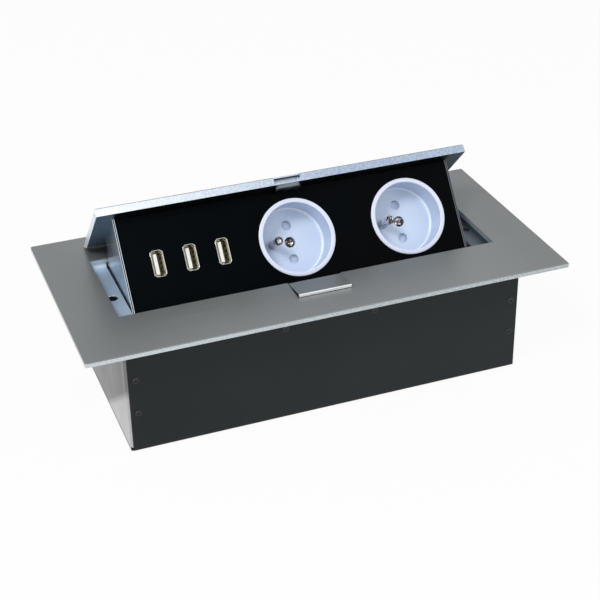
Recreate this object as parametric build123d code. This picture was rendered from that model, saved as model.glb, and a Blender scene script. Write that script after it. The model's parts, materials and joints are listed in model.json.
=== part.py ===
"""In-desk power module: a flush frame over a sheet steel box, with a lid that swings up.

The lid carries a wedge-shaped unit with two round sockets that have an earth pin, and three
USB charging ports. Two gooseneck cheeks reach under the frame's rear lip to pivots on the
box's end plates, so the lid lies flush when closed and tips back over the rear border when
open. The model is drawn open. X runs along the length, Y from front to rear, Z up.
Millimetres throughout, with the origin under the middle of the frame at the box's floor.
"""

from build123d import *
import os
from math import acos, atan2, cos, hypot, radians, sin

os.makedirs("parts", exist_ok=True)

# Frame plate and the stepped opening in it
PLATE_THICK = 2.5
PLATE_CORNER = 1.0
PLATE_BREAK = 0.4
FRONT_BORDER = 37.2
REAR_BORDER = 29.8
SIDE_BORDER = 26.4
OPENING_DEPTH = 63.0
LIP_THICK = 1.5
LIP_DROP = 5.0
LIP_BREAK = 0.35
LEDGE_WIDTH = 9.0
LEDGE_DROP = 5.0
SLIT_WIDTH = 1.0
BOX_RECESS = 0.3
BOX_RECESS_GAP = 0.3

# Countersunk screws in the ledges
LEDGE_SCREW_INSET = 5.5
LEDGE_HEAD_RADIUS = 2.6
LEDGE_HEAD_DEPTH = 1.15
LEDGE_NECK_RADIUS = 1.45
LEDGE_SHANK_RADIUS = 1.25
LEDGE_SHANK_LENGTH = 5.3
LEDGE_HEAD_SINK = 0.025
LEDGE_SLOT_LENGTH = 5.4
LEDGE_SLOT_WIDTH = 0.7
LEDGE_HOLE_RADIUS = 1.7
COUNTERSINK_GAP = 0.25

# Box
BOX_MARGIN = 13.3
BOX_SIDE_REACH = 4.5
BOX_HEIGHT = 64.9
SHELL_THICK = 1.0
SHELL_BEND = 0.6
END_THICK = 1.2
END_BEND = 1.2
END_FLANGE = 11.0
CORNER_STRIP = 1.0
CORNER_RELIEF = 4.0
SHELF_SETBACK = 1.2
DESK_HOLE_RADIUS = 2.1
DESK_HOLE_DROP = 12.0
DESK_HOLE_SPACING = 76.0

# Pan screws in the box's walls
SHELL_SCREW_INSET = 4.9
FRONT_SCREW_DROPS = (24.2, 44.0)
REAR_SCREW_DROPS = (14.0, 44.0)
PAN_HEAD_RADIUS = 2.3
PAN_HEAD_HEIGHT = 0.9
PAN_SLOT_LENGTH = 3.4
PAN_SHANK_RADIUS = 1.25
PAN_HOLE_RADIUS = 1.6
PAN_REACH = 1.2
SLOT_WIDTH = 0.6
SLOT_DEPTH = 0.4

# Cable entry and earth stud
GROMMET_X = 78.0
GROMMET_Z = 20.0
GROMMET_NECK = 6.0
GROMMET_BORE = 3.8
GROMMET_LIP = 2.0
GROMMET_FLANGES = (2.4, 2.0)
GROMMET_TAPERS = (0.8, 0.6)
GROMMET_EDGE = 0.6
EARTH_STUD_X = -70.0
EARTH_STUD_Y = 34.0
EARTH_STUD_RADIUS = 1.95
EARTH_STUD_LENGTH = 13.0
EARTH_HOLE_RADIUS = 2.0
EARTH_HEAD_RADIUS = 3.2
EARTH_HEAD_HEIGHT = 1.0
EARTH_NUT_RADIUS = 4.0
EARTH_NUT_HEIGHT = 3.2
EARTH_NUT_GAP = 0.3

# Lid
LID_GAP = 0.4
LID_SIDE_GAP = 0.8
LID_REAR_GAP = 4.6
LID_THICK = 4.6
LID_NOSE = 0.8
LID_CHAMFER = 9.0
LID_BREAK = 0.5
LID_SCREW_BITE = 3.0
LID_SHANK_RADIUS = 1.25
LID_HOLE_RADIUS = 1.6
LID_HEAD_RADIUS = 2.6
LID_HEAD_HEIGHT = 1.6
LID_SLOT_LENGTH = 4.0
LID_SLOT_WIDTH = 0.7
LID_SLOT_DEPTH = 0.65
NOTCH_WIDTH = 15.0
NOTCH_DEPTH = 3.0
NOTCH_SHELF = 0.8
STRIKE_WIDTH = 14.0
STRIKE_DEPTH = 7.0
STRIKE_SETBACK = 0.3
STRIKE_THICK = 2.0
STRIKE_CORNER = 1.2
STRIKE_SCREW_X = 4.0
STRIKE_SCREW_BACK = 4.6
STRIKE_SCREW_RADIUS = 0.95
STRIKE_SCREW_BITE = 2.7
STRIKE_END_GAP = 0.3
STRIKE_HEAD_RADIUS = 1.8
STRIKE_HEAD_DEPTH = 0.8

# Pivot and travel
PIVOT_BEHIND = 7.8
PIVOT_DROP = 26.0
OPEN_ANGLE = 45.5
PANEL_LEAN = 37.0
RUNNING_GAP = 0.05
SEAT_GAP = 0.1

# Panel across the front of the module
PANEL_SETBACK = 8.0
PANEL_LENGTH = 55.0
PANEL_THICK = 2.0
PANEL_TOP_GAP = 0.6
PANEL_HEEL = 9.0
PANEL_ROUND = 1.2
USB_EDGE = 17.8
USB_PITCH = 17.85
USB_TO_SOCKET = 42.0
SOCKET_PITCH = 65.4
SOCKET_EDGE = 29.1
SOCKET_RAISE = 0.1

# Gooseneck cheeks
CHEEK_THICK = 1.2
CHEEK_SIDE_GAP = 0.9
CHEEK_FLANGE = 8.0
CHEEK_ROUND = 6.0
CHEEK_LIP_GAP = 2.2
CHEEK_TAB_BACKS = (13.0, 31.0)
CHEEK_SCREW_BACKS = (17.0, 27.0)
CHEEK_FRONT_GAP = 0.6
CHEEK_FRONT_ENDS = (9.0, 6.0)
NECK_RISE = 7.5
NECK_REACH = 4.2
NECK_UNDER = 0.6
NECK_ROUND = 1.4
SHOULDER_IN = 5.4
SHOULDER_DROP = 2.2
CHIN_DROP = 0.6

# Folded cover behind the module
COVER_THICK = 0.8
COVER_LIP_GAP = 2.5
COVER_TAB_BACK = 24.0
COVER_SCREW_BACK = 28.0
COVER_SCREW_X = (-55.0, 55.0)
COVER_KNEE_DROP = 11.0
COVER_CLEAR_LOW = 2.1
COVER_CLEAR_BACK = 4.9
COVER_RISE = 1.0
COVER_HEEL = (8.0, 3.0)
COVER_END_GAP = 0.5
COVER_NOTCH = 1.4
COVER_HOLE = 4.0
COVER_HOLE_X = -20.0
COVER_RING_BORE = 3.0
COVER_RING_LIP = 1.5
COVER_RING_THICK = 1.2

# Socket faces
CUP_RADIUS = 19.2
CUP_WALL = 1.3
CUP_DEPTH = 14.5
CUP_FLOOR = 2.2
CUP_COVE = 1.6
RIM_WIDTH = 2.3
RIM_PROUD = 1.0
RIM_LAND = 0.6
RIM_SLOPE = 0.8
RIM_EDGE = 0.5
RIM_EDGE_HEIGHT = 0.4
PIN_SPACING = 19.0
PIN_HOLE_RADIUS = 2.7
KEY_LENGTH = 5.0
KEY_THICK = 1.0
KEY_PROUD = 0.7
LUG_LENGTH = 8.0
LUG_HEIGHT = 3.9
LUG_PROUD = 0.8

# Earth pins and centre screws
EARTH_OFFSET = 10.0
EARTH_RADIUS = 2.4
EARTH_LENGTH = 14.5
EARTH_ROOT_RADIUS = 2.0
EARTH_ROOT_DEPTH = 5.0
EARTH_WELL_DEPTH = 6.0
EARTH_FOOT = 0.4
EARTH_DOME = 1.9
CENTRE_SHANK_RADIUS = 1.24
CENTRE_SHANK_LENGTH = 9.3
CENTRE_BORE_RADIUS = 1.25
CENTRE_BORE_DEPTH = 6.0
CENTRE_HOLE_RADIUS = 1.7
CENTRE_HEAD_RADIUS = 2.8
CENTRE_HEAD_HEIGHT = 1.1
CENTRE_HEAD_GAP = 0.1
CENTRE_SLOT = (5.0, 0.7, 0.6)

# Shutters, springs and contacts behind the cups
SHUTTER_ROOM = 2.4
SHUTTER_THICK = 1.6
SHUTTER_TRAVEL = 5.4
SHUTTER_LAP = 0.4
SHUTTER_LEFT = -2.9
SHUTTER_RIGHT = 6.4
SHUTTER_SLOT = 1.9
SHUTTER_RAMP = 1.0
SHUTTER_SIDE_GAP = 0.3
SPRING_SEAT_GAP = 0.35
SPRING_COIL = 0.75
SPRING_COIL_WIRE = 0.25
SPRING_COIL_TURNS = 3
BASE_WIDTH = 37.0
BASE_HEIGHT = 27.0
BASE_DEPTH = 10.0
BASE_CORNER = 3.0
BASE_STOP = 1.5
BASE_EDGE = 3.0
SLEEVE_RADIUS = 2.9
SLEEVE_BORE = 2.35
SLEEVE_LENGTH = 7.6
SLEEVE_SLOT = 0.8
SLEEVE_DEPTH = 4.0
WELL_RADIUS = 3.0
WELL_DEPTH = 8.1
CLAMP_WELL_RADIUS = 2.4
CLAMP_WELL_DEPTH = 4.0
CLAMP_WELL_INSET = 5.0

# USB ports
USB_SHELL_HEIGHT = 13.1
USB_SHELL_WIDTH = 5.7
USB_SHELL_CORNER = 0.5
USB_FLARE = 0.6
USB_FLARE_RIM = 0.3
USB_WALL = 0.4
USB_LENGTH = 14.0
USB_BACK = 0.6
USB_PROUD = 0.6
USB_SLOT_GAP = 0.2
TONGUE_HEIGHT = 11.0
TONGUE_THICK = 1.9
TONGUE_LENGTH = 12.0
TONGUE_INSET = 0.7
TONGUE_ROOT = 2.0
CONTACT_STEPS = (-3.5, -1.0, 1.0, 3.5)
CONTACT_WIDTH = 1.0
CONTACT_THICK = 0.2
CONTACT_INSET = 2.2

# Charger board on the panel's posts
BOARD_LENGTH = 62.0
BOARD_HEIGHT = 26.0
BOARD_THICK = 1.6
POST_RADIUS = 2.5
POST_BORE = 1.0
POST_BORE_DEPTH = 5.0
BOARD_HOLE_RADIUS = 1.4
BOARD_HEAD_RADIUS = 2.2
BOARD_HEAD_HEIGHT = 1.2
BOARD_SHANK_RADIUS = 0.98
BOARD_SHANK_LENGTH = 5.0
CORE_SIZE = (12.0, 13.0, 8.0)
WINDING_SIZE = (8.0, 16.0, 6.0)
CAN_RADIUS = 4.0
CAN_HEIGHT = 9.0
CAN_ROUND = 0.6
CAN_SHIFT = 3.0
CAN_PITCH = 11.2

# Release tab and its catch
TAB_WIDTH = 29.4
TAB_DEPTH = 16.0
TAB_THICK = 1.6
TAB_SETBACK = 0.8
TAB_RISE = 1.8
TAB_BREAK = 0.3
TAB_GAP = 0.3
TAB_PIN_RADIUS = 1.0
TAB_PIN_BACK = 3.2
TAB_PIN_DROP = 3.4
TAB_KNUCKLE = 1.75
TAB_ROOT = 0.5
TAB_ARM_X = 8.0
TAB_ARM_WIDTH = 2.5
TAB_TAIL = 7.0
TAB_TAIL_WIDTH = 3.6
TAB_TAIL_THICK = 1.6
TAB_NECK_DROP = 1.6
TAB_HOOK_THICK = 0.9
TAB_HOOK_GAP = 0.3
TAB_HOOK_NOSE = 0.6
BRACKET_THICK = 1.0
BRACKET_DROP = 17.0
BRACKET_EAR_X = 12.0
BRACKET_WALL_DROP = 8.0
BRACKET_WING = 5.0
BRACKET_SCREW_X = 25.0
BRACKET_SCREW_DROP = 12.4
LEAF_WIDTH = 9.0
LEAF_THICK = 0.5
LEAF_FOOT = 9.0
LEAF_LIFT = 0.2
LEAF_BITE = 1.0
LEAF_SLOT_SIDE = 0.5
LEAF_SLOT_ENDS = (1.4, 0.4)

# Pivot hardware
PIVOT_RADIUS = 3.0
PIVOT_NECK = 2.3
PIN_SHOULDER = 1.5
PIN_COLLAR = 1.0
PIN_TIP = 1.5
PIN_BREAK = 0.5
CLIP_THICK = 0.8
CLIP_SLOT = 0.9
CLIP_RADIUS = 5.2
CLIP_MOUTH = 3.2
BUSH_TAIL = 0.6
BUSH_WALL = 1.45
BUSH_FLANGE = 6.0
BUSH_FLANGE_THICK = 1.0
SPRING_WIRE = 0.6
SPRING_RADIUS = 5.4
SPRING_TURNS = 4
SPRING_LEG = 15.0
SPRING_IN_GAP = 1.4
SPRING_OUT_GAP = 2.6
SPRING_HOOKS = (4.0, 4.2)
SPRING_HOLE_RADIUS = 1.0

# How far a cutting tool runs past what it cuts
PAST = 1.0

# How close to a place an edge is counted as lying there
NEAR = 0.01

# Levels
UNDER = BOX_HEIGHT
TOP = UNDER + PLATE_THICK
BOX_TOP = UNDER + BOX_RECESS
LEDGE_TOP = TOP - LEDGE_DROP
LEDGE_UNDER = LEDGE_TOP - LIP_THICK
LIP_LOW = TOP - LIP_DROP
PIVOT_Z = TOP - PIVOT_DROP
COVER_KNEE_Z = TOP - COVER_KNEE_DROP
TAB_PIN_Z = TOP - TAB_PIN_DROP
BRACKET_FLOOR_Z = TOP - BRACKET_DROP
BRACKET_TOP_Z = TOP - BRACKET_WALL_DROP

# Edges from front to rear
PLATE_DEPTH = FRONT_BORDER + OPENING_DEPTH + REAR_BORDER
OPEN_FRONT = -PLATE_DEPTH / 2 + FRONT_BORDER
OPEN_REAR = PLATE_DEPTH / 2 - REAR_BORDER
BOX_Y = PLATE_DEPTH / 2 - BOX_MARGIN
WALL_IN_Y = BOX_Y - SHELL_THICK
PIVOT_Y = OPEN_REAR + PIVOT_BEHIND
LID_FRONT = OPEN_FRONT + LID_GAP
LID_DEPTH = OPEN_REAR - LID_REAR_GAP - LID_FRONT
TAB_REAR_Y = OPEN_FRONT - TAB_SETBACK
TAB_FRONT_Y = TAB_REAR_Y - TAB_DEPTH
TAB_PIN_Y = TAB_REAR_Y - TAB_PIN_BACK

# Edges from the middle to the ends
PANEL_WIDTH = USB_EDGE + 2 * USB_PITCH + USB_TO_SOCKET + SOCKET_PITCH + SOCKET_EDGE
PANEL_X = PANEL_WIDTH / 2
CHEEK_X = PANEL_X + CHEEK_THICK
LEDGE_X = CHEEK_X + CHEEK_SIDE_GAP
OPEN_X = LEDGE_X + LEDGE_WIDTH
LID_X = OPEN_X - LID_SIDE_GAP
BOX_X = OPEN_X + BOX_SIDE_REACH
END_IN_X = BOX_X - END_THICK
PLATE_X = OPEN_X + SIDE_BORDER
LEDGE_SCREW_X = LEDGE_X + LEDGE_SCREW_INSET
SHELL_SCREW_X = BOX_X - SHELL_SCREW_INSET
CLIP_X = PANEL_X - BUSH_TAIL - SEAT_GAP - CLIP_SLOT
PIN_END_X = CLIP_X - PIN_TIP
BUSH_RADIUS = PIVOT_RADIUS + RUNNING_GAP + BUSH_WALL
USB_FIRST_X = -PANEL_X + USB_EDGE
USB_X = (USB_FIRST_X, USB_FIRST_X + USB_PITCH, USB_FIRST_X + 2 * USB_PITCH)
SOCKET_X = (PANEL_X - SOCKET_EDGE - SOCKET_PITCH, PANEL_X - SOCKET_EDGE)
POST_X = ((USB_X[0] + USB_X[1]) / 2, (USB_X[1] + USB_X[2]) / 2)

# Distances down and behind the panel
SOCKET_DROP = PANEL_LENGTH / 2 - SOCKET_RAISE
CUP_OUTER = CUP_RADIUS + CUP_WALL
RIM_RADIUS = CUP_RADIUS + RIM_WIDTH
CUP_BACK = CUP_DEPTH + CUP_FLOOR
BASE_FRONT = CUP_BACK + SHUTTER_ROOM
BASE_BACK = BASE_FRONT + BASE_DEPTH
SHUTTER_MIDDLE = CUP_BACK + SHUTTER_ROOM / 2
SHUTTER_HALF = PIN_SPACING / 2 + PIN_HOLE_RADIUS - SHUTTER_LAP
BASE_STOP_X = BASE_WIDTH / 2 - BASE_EDGE
BOARD_BACK = USB_LENGTH + BOARD_THICK
STRIKE_UNDER = LID_THICK + STRIKE_THICK


def save(name, shape):
    """Write one named piece."""
    export_step(shape, "parts/" + name + ".step")


def block(x, y, z):
    """A box between three pairs of limits."""
    size = Box(x[1] - x[0], y[1] - y[0], z[1] - z[0])
    return Pos((x[0] + x[1]) / 2, (y[0] + y[1]) / 2, (z[0] + z[1]) / 2) * size


def span(side, near, far):
    """The limits from one distance to another on the left or right of the middle."""
    return sorted((side * near, side * far))


def side_slab(points, x0, x1):
    """A side outline in Y and Z, drawn out along X."""
    outline = Plane.YZ.offset(x0) * make_face(Polyline(*points, close=True))
    return extrude(outline, amount=x1 - x0)


def folded(points, bend, thick, x0, x1):
    """Sheet folded along a side path with round bends, its thickness to the left of the path."""
    path = FilletPolyline(*points, radius=bend)
    edge = offset(path, amount=thick, side=Side.LEFT, closed=True)
    return extrude(Plane.YZ.offset(x0) * make_face(edge), amount=x1 - x0)


def rod(radius, start, direction, length):
    """A round bar from a point along a direction."""
    plane = Plane(origin=start, z_dir=direction)
    return extrude(plane * Circle(radius), amount=length)


def turned(profile):
    """A round piece turned about Z from a profile of radius and height."""
    return revolve(Plane.XZ * make_face(Polyline(*profile, close=True)), Axis.Z)


def mirrored(shape):
    """The same piece for the other end."""
    return mirror(shape, about=Plane.YZ)


def opened(y, z):
    """Where a point of the closed lid lies when the lid is open."""
    turn = radians(OPEN_ANGLE)
    back = y - PIVOT_Y
    up = z - PIVOT_Z
    return (PIVOT_Y + back * cos(turn) + up * sin(turn), PIVOT_Z - back * sin(turn) + up * cos(turn))


LID_EDGE_Y, LID_EDGE_Z = opened(LID_FRONT, TOP)
LID_PLANE = Plane(
    origin=(0, LID_EDGE_Y, LID_EDGE_Z),
    x_dir=(1, 0, 0),
    z_dir=(0, sin(radians(OPEN_ANGLE)), cos(radians(OPEN_ANGLE))),
)


def on_lid(back, down):
    """The Y and Z of a point a distance back from the lid's front edge and below its top."""
    point = LID_PLANE.from_local_coords((0, back, -down))
    return (point.Y, point.Z)


PANEL_TOP_Y, PANEL_TOP_Z = on_lid(PANEL_SETBACK, LID_THICK)
PANEL_PLANE = Plane(
    origin=(0, PANEL_TOP_Y, PANEL_TOP_Z),
    x_dir=(1, 0, 0),
    z_dir=(0, -cos(radians(PANEL_LEAN)), sin(radians(PANEL_LEAN))),
)


def on_panel(down, inside):
    """The Y and Z of a point down the panel from the lid and a distance behind its face."""
    point = PANEL_PLANE.from_local_coords((0, -down, -inside))
    return (point.Y, point.Z)


def panel_spot(x, down=SOCKET_DROP, inside=0.0):
    """A placement on the panel, turned so that its Z points out of the face."""
    return PANEL_PLANE * Pos(x, -down, -inside)


def lid_underside_at(y):
    """The height of the open lid's underside above a given Y."""
    start_y, start_z = on_lid(0, LID_THICK)
    return start_z - (y - start_y) * sin(radians(OPEN_ANGLE)) / cos(radians(OPEN_ANGLE))


def frame_plate():
    """Satin plate with an opening: a stepped ledge at each end and a lip behind."""
    blank = extrude(RectangleRounded(2 * PLATE_X, PLATE_DEPTH, PLATE_CORNER), amount=PLATE_THICK)
    plate = Pos(0, 0, UNDER) * blank
    plate = chamfer(plate.faces().sort_by(Axis.Z)[-1].outer_wire().edges(), PLATE_BREAK)
    recess_x = BOX_X + BOX_RECESS_GAP
    recess_y = BOX_Y + BOX_RECESS_GAP
    plate -= block((-recess_x, recess_x), (-recess_y, recess_y), (UNDER - PAST, BOX_TOP))
    lip_y = (OPEN_REAR, OPEN_REAR + LIP_THICK)
    plate += block((-LEDGE_X, LEDGE_X), lip_y, (LIP_LOW, BOX_TOP))
    for side in (-1, 1):
        tray_x = span(side, LEDGE_X, OPEN_X + LIP_THICK)
        plate += block(tray_x, (OPEN_FRONT, OPEN_REAR + LIP_THICK), (LEDGE_UNDER, BOX_TOP))
    plate -= block((-LEDGE_X, LEDGE_X), (OPEN_FRONT, OPEN_REAR), (LEDGE_UNDER - PAST, TOP + PAST))
    plate -= block((-OPEN_X, OPEN_X), (OPEN_FRONT, OPEN_REAR), (LEDGE_TOP, TOP + PAST))
    for side in (-1, 1):
        plate -= block(span(side, LEDGE_X - SLIT_WIDTH, LEDGE_X), lip_y, (LIP_LOW, BOX_TOP))
        plate -= Pos(side * LEDGE_SCREW_X, 0, LEDGE_TOP) * ledge_screw_hole()
    break_cut = [
        (OPEN_REAR, TOP - LIP_BREAK),
        (OPEN_REAR + LIP_BREAK, TOP),
        (OPEN_REAR, TOP),
    ]
    plate -= side_slab(break_cut, -OPEN_X, OPEN_X)
    plate -= tab_window()
    return plate


def ledge_screw_hole():
    """Countersunk clearance for a ledge screw, down from the ledge's top."""
    wide = LEDGE_HEAD_RADIUS + COUNTERSINK_GAP
    profile = [
        (0, LEDGE_HEAD_SINK),
        (wide, LEDGE_HEAD_SINK),
        (LEDGE_HOLE_RADIUS, LEDGE_HEAD_SINK - LEDGE_HEAD_DEPTH),
        (LEDGE_HOLE_RADIUS, -LIP_THICK - PAST),
        (0, -LIP_THICK - PAST),
    ]
    return turned(profile)


def tab_window():
    """The cut-out in the front border, open to the main opening, that the release tab fills."""
    half = TAB_WIDTH / 2 + TAB_GAP
    return block((-half, half), (TAB_FRONT_Y - TAB_GAP, OPEN_FRONT), (UNDER - PAST, TOP + PAST))


def ledge_screws():
    """Countersunk screws that join the frame's ledges to the end plates' top flanges."""
    under_head = -LEDGE_HEAD_SINK - LEDGE_HEAD_DEPTH
    profile = [
        (0, -LEDGE_HEAD_SINK),
        (LEDGE_HEAD_RADIUS, -LEDGE_HEAD_SINK),
        (LEDGE_NECK_RADIUS, under_head),
        (LEDGE_SHANK_RADIUS, under_head),
        (LEDGE_SHANK_RADIUS, -LEDGE_SHANK_LENGTH),
        (0, -LEDGE_SHANK_LENGTH),
    ]
    screws = []
    for side in (-1, 1):
        screw = turned(profile) - Box(LEDGE_SLOT_WIDTH, LEDGE_SLOT_LENGTH, 2 * SLOT_DEPTH)
        screws.append(Pos(side * LEDGE_SCREW_X, 0, LEDGE_TOP) * screw)
    return Compound(children=screws)


def shell_screw_spots():
    """Where screws go through the shell's walls: X, Z and which wall, -1 in front and 1 behind."""
    spots = []
    for wall, drops in ((-1, FRONT_SCREW_DROPS), (1, REAR_SCREW_DROPS)):
        for side in (-1, 1):
            for drop in drops:
                spots.append((side * SHELL_SCREW_X, TOP - drop, wall))
    return spots


def pan_screw(x, z, wall):
    """Small slotted screw with its head on the front or rear wall and its shank going in."""
    start = (x, wall * BOX_Y, z)
    head = rod(PAN_HEAD_RADIUS, start, (0, wall, 0), PAN_HEAD_HEIGHT)
    shank = rod(PAN_SHANK_RADIUS, start, (0, -wall, 0), SHELL_THICK + END_THICK + PAN_REACH)
    slot = Pos(x, wall * (BOX_Y + PAN_HEAD_HEIGHT), z) * Box(PAN_SLOT_LENGTH, 2 * SLOT_DEPTH, SLOT_WIDTH)
    return head + shank - slot


def housing_shell():
    """Black sheet folded into a trough: front wall, floor and rear wall."""
    trough = [(-BOX_Y, BOX_TOP), (-BOX_Y, 0), (BOX_Y, 0), (BOX_Y, BOX_TOP)]
    bend = SHELL_BEND + SHELL_THICK
    shell = folded(trough, bend, SHELL_THICK, -BOX_X + CORNER_STRIP, BOX_X - CORNER_STRIP)
    shell += block((-BOX_X, BOX_X), (-BOX_Y + bend, BOX_Y - bend), (0, SHELL_THICK))
    through = SHELL_THICK + 2 * PAST
    for x, z, wall in shell_screw_spots():
        shell -= rod(PAN_HOLE_RADIUS, (x, wall * (BOX_Y + PAST), z), (0, -wall, 0), through)
    for side in (-1, 1):
        spot = (side * BRACKET_SCREW_X, -BOX_Y - PAST, TOP - BRACKET_SCREW_DROP)
        shell -= rod(PAN_HOLE_RADIUS, spot, (0, 1, 0), through)
    shell -= rod(GROMMET_NECK, (GROMMET_X, WALL_IN_Y - PAST, GROMMET_Z), (0, 1, 0), through)
    shell -= rod(EARTH_HOLE_RADIUS, (EARTH_STUD_X, EARTH_STUD_Y, -PAST), (0, 0, 1), through)
    return shell


def cable_grommet():
    """Moulded bush that lines the cable's way in through the rear wall."""
    inner = GROMMET_NECK + GROMMET_FLANGES[0]
    outer = GROMMET_NECK + GROMMET_FLANGES[1]
    outside = SHELL_THICK + GROMMET_LIP
    profile = [
        (GROMMET_BORE, -GROMMET_LIP),
        (inner - GROMMET_TAPERS[0], -GROMMET_LIP),
        (inner, -GROMMET_EDGE),
        (inner, 0),
        (GROMMET_NECK, 0),
        (GROMMET_NECK, SHELL_THICK),
        (outer, SHELL_THICK),
        (outer - GROMMET_TAPERS[1], outside),
        (GROMMET_BORE, outside),
    ]
    return Pos(GROMMET_X, WALL_IN_Y, GROMMET_Z) * Rot(-90, 0, 0) * turned(profile)


def earth_stud():
    """Threaded stud through the floor for the earth lead."""
    base = (EARTH_STUD_X, EARTH_STUD_Y, SHELL_THICK)
    head = rod(EARTH_HEAD_RADIUS, base, (0, 0, 1), EARTH_HEAD_HEIGHT)
    foot = (EARTH_STUD_X, EARTH_STUD_Y, SHELL_THICK / 5)
    return head + rod(EARTH_STUD_RADIUS, foot, (0, 0, 1), EARTH_STUD_LENGTH)


def earth_nut():
    """Hexagon nut on the earth stud."""
    nut = extrude(RegularPolygon(EARTH_NUT_RADIUS, 6), amount=EARTH_NUT_HEIGHT)
    nut -= Cylinder(EARTH_HOLE_RADIUS, 3 * EARTH_NUT_HEIGHT)
    return Pos(EARTH_STUD_X, EARTH_STUD_Y, SHELL_THICK + EARTH_HEAD_HEIGHT + EARTH_NUT_GAP) * nut


def end_plate():
    """Bright sheet folded into a shallow tray that closes the box's right end."""
    low = SHELL_THICK
    front = -WALL_IN_Y
    rear = WALL_IN_Y
    flange_in = BOX_X - END_FLANGE
    outline = [
        (flange_in, front),
        (BOX_X, front),
        (BOX_X, rear),
        (flange_in, rear),
        (flange_in, rear - END_THICK),
        (END_IN_X, rear - END_THICK),
        (END_IN_X, front + END_THICK),
        (flange_in, front + END_THICK),
    ]
    tray = Pos(0, 0, low) * extrude(make_face(Polyline(*outline, close=True)), amount=BOX_TOP - low)
    outside = tray.edges().filter_by(Axis.Z).filter_by(lambda e: abs(e.center().X - BOX_X) < NEAR)
    tray = fillet(outside, END_BEND + END_THICK)
    inside = tray.edges().filter_by(Axis.Z).filter_by(lambda e: abs(e.center().X - END_IN_X) < NEAR)
    tray = fillet(inside, END_BEND)
    foot_y = (front + CORNER_RELIEF, rear - CORNER_RELIEF)
    tray += block((flange_in, BOX_X - END_BEND), foot_y, (low, low + END_THICK))
    for y in (front, rear):
        tray -= Pos(BOX_X, y, low) * Box(4 * END_FLANGE, 2 * CORNER_STRIP + 2 * SHELL_BEND, 3 * SHELL_BEND)
    tray = fold_shelf(tray)
    for x, z, wall in shell_screw_spots():
        if x > 0:
            spot = (x, wall * (WALL_IN_Y + PAST), z)
            tray -= rod(PAN_SHANK_RADIUS, spot, (0, -wall, 0), END_THICK + 2 * PAST)
    return drill_end(tray)


def fold_shelf(tray):
    """Cut the end wall down to the ledge and fold it in as a shelf that the ledge lies on."""
    shelf_y = (OPEN_FRONT + CORNER_RELIEF, OPEN_REAR - CORNER_RELIEF)
    wall_x = (END_IN_X - PAST, BOX_X + PAST)
    under = LEDGE_UNDER - END_THICK
    tray -= block(wall_x, (shelf_y[0] - PAST, shelf_y[1] + PAST), (LEDGE_UNDER, BOX_TOP + PAST))
    tray -= block(wall_x, (OPEN_FRONT - PAST, shelf_y[0]), (under, BOX_TOP + PAST))
    tray -= block(wall_x, (shelf_y[1], OPEN_REAR + 2 * LIP_THICK), (under, BOX_TOP + PAST))
    tray += block((LEDGE_X + SHELF_SETBACK, BOX_X - END_BEND), shelf_y, (under, LEDGE_UNDER))
    screw = (LEDGE_SCREW_X, 0, under - PAST)
    return tray - rod(LEDGE_SHANK_RADIUS, screw, (0, 0, 1), END_THICK + 2 * PAST)


def drill_end(tray):
    """Holes in the end wall for the pivot pin, the spring's leg and the desk fixings."""
    start_x = END_IN_X - PAST
    through = END_THICK + 2 * PAST
    tray -= rod(PIVOT_NECK, (start_x, PIVOT_Y, PIVOT_Z), (1, 0, 0), through)
    tray -= rod(SPRING_HOLE_RADIUS, (start_x, PIVOT_Y, PIVOT_Z - SPRING_LEG), (1, 0, 0), through)
    for side in (-1, 1):
        spot = (start_x, side * DESK_HOLE_SPACING / 2, TOP - DESK_HOLE_DROP)
        tray -= rod(DESK_HOLE_RADIUS, spot, (1, 0, 0), through)
    return tray


def shell_screws():
    """Small dark pan screws that hold the shell to the end plates' flanges."""
    return Compound(children=[pan_screw(x, z, wall) for x, z, wall in shell_screw_spots()])


def pivot_pin():
    """Shouldered pin, riveted flush in the end plate, that carries one cheek."""
    profile = [
        (PIN_END_X, 0),
        (PIN_END_X, PIVOT_RADIUS - PIN_BREAK),
        (PIN_END_X + PIN_BREAK, PIVOT_RADIUS),
        (CLIP_X, PIVOT_RADIUS),
        (CLIP_X, PIVOT_NECK),
        (CLIP_X + CLIP_SLOT, PIVOT_NECK),
        (CLIP_X + CLIP_SLOT, PIVOT_RADIUS),
        (END_IN_X - PIN_SHOULDER, PIVOT_RADIUS),
        (END_IN_X - PIN_SHOULDER, PIVOT_RADIUS + PIN_COLLAR),
        (END_IN_X, PIVOT_RADIUS + PIN_COLLAR),
        (END_IN_X, PIVOT_NECK),
        (BOX_X, PIVOT_NECK),
        (BOX_X, 0),
    ]
    pin = revolve(make_face(Polyline(*profile, close=True)), Axis.X)
    return Pos(0, PIVOT_Y, PIVOT_Z) * pin


def pivot_clip():
    """Open ring that snaps into the pin's groove."""
    start = CLIP_X + (CLIP_SLOT - CLIP_THICK) / 2
    place = Plane(origin=(start, PIVOT_Y, PIVOT_Z), z_dir=(1, 0, 0), x_dir=(0, 1, 0))
    mouth = Pos(-CLIP_RADIUS, 0) * Rectangle(2 * CLIP_RADIUS, CLIP_MOUTH)
    ring = Circle(CLIP_RADIUS) - Circle(PIVOT_NECK) - mouth
    return extrude(place * ring, amount=CLIP_THICK)


def pivot_bush():
    """Flanged plastic bush in the cheek that turns on the pin."""
    bush = rod(BUSH_RADIUS, (PANEL_X - BUSH_TAIL, PIVOT_Y, PIVOT_Z), (1, 0, 0), CHEEK_THICK + BUSH_TAIL)
    bush += rod(BUSH_FLANGE, (CHEEK_X, PIVOT_Y, PIVOT_Z), (1, 0, 0), BUSH_FLANGE_THICK)
    length = CHEEK_THICK + BUSH_TAIL + BUSH_FLANGE_THICK + 2 * PAST
    bush -= rod(PIVOT_RADIUS + RUNNING_GAP, (PANEL_X - BUSH_TAIL - PAST, PIVOT_Y, PIVOT_Z), (1, 0, 0), length)
    return bush


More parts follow.
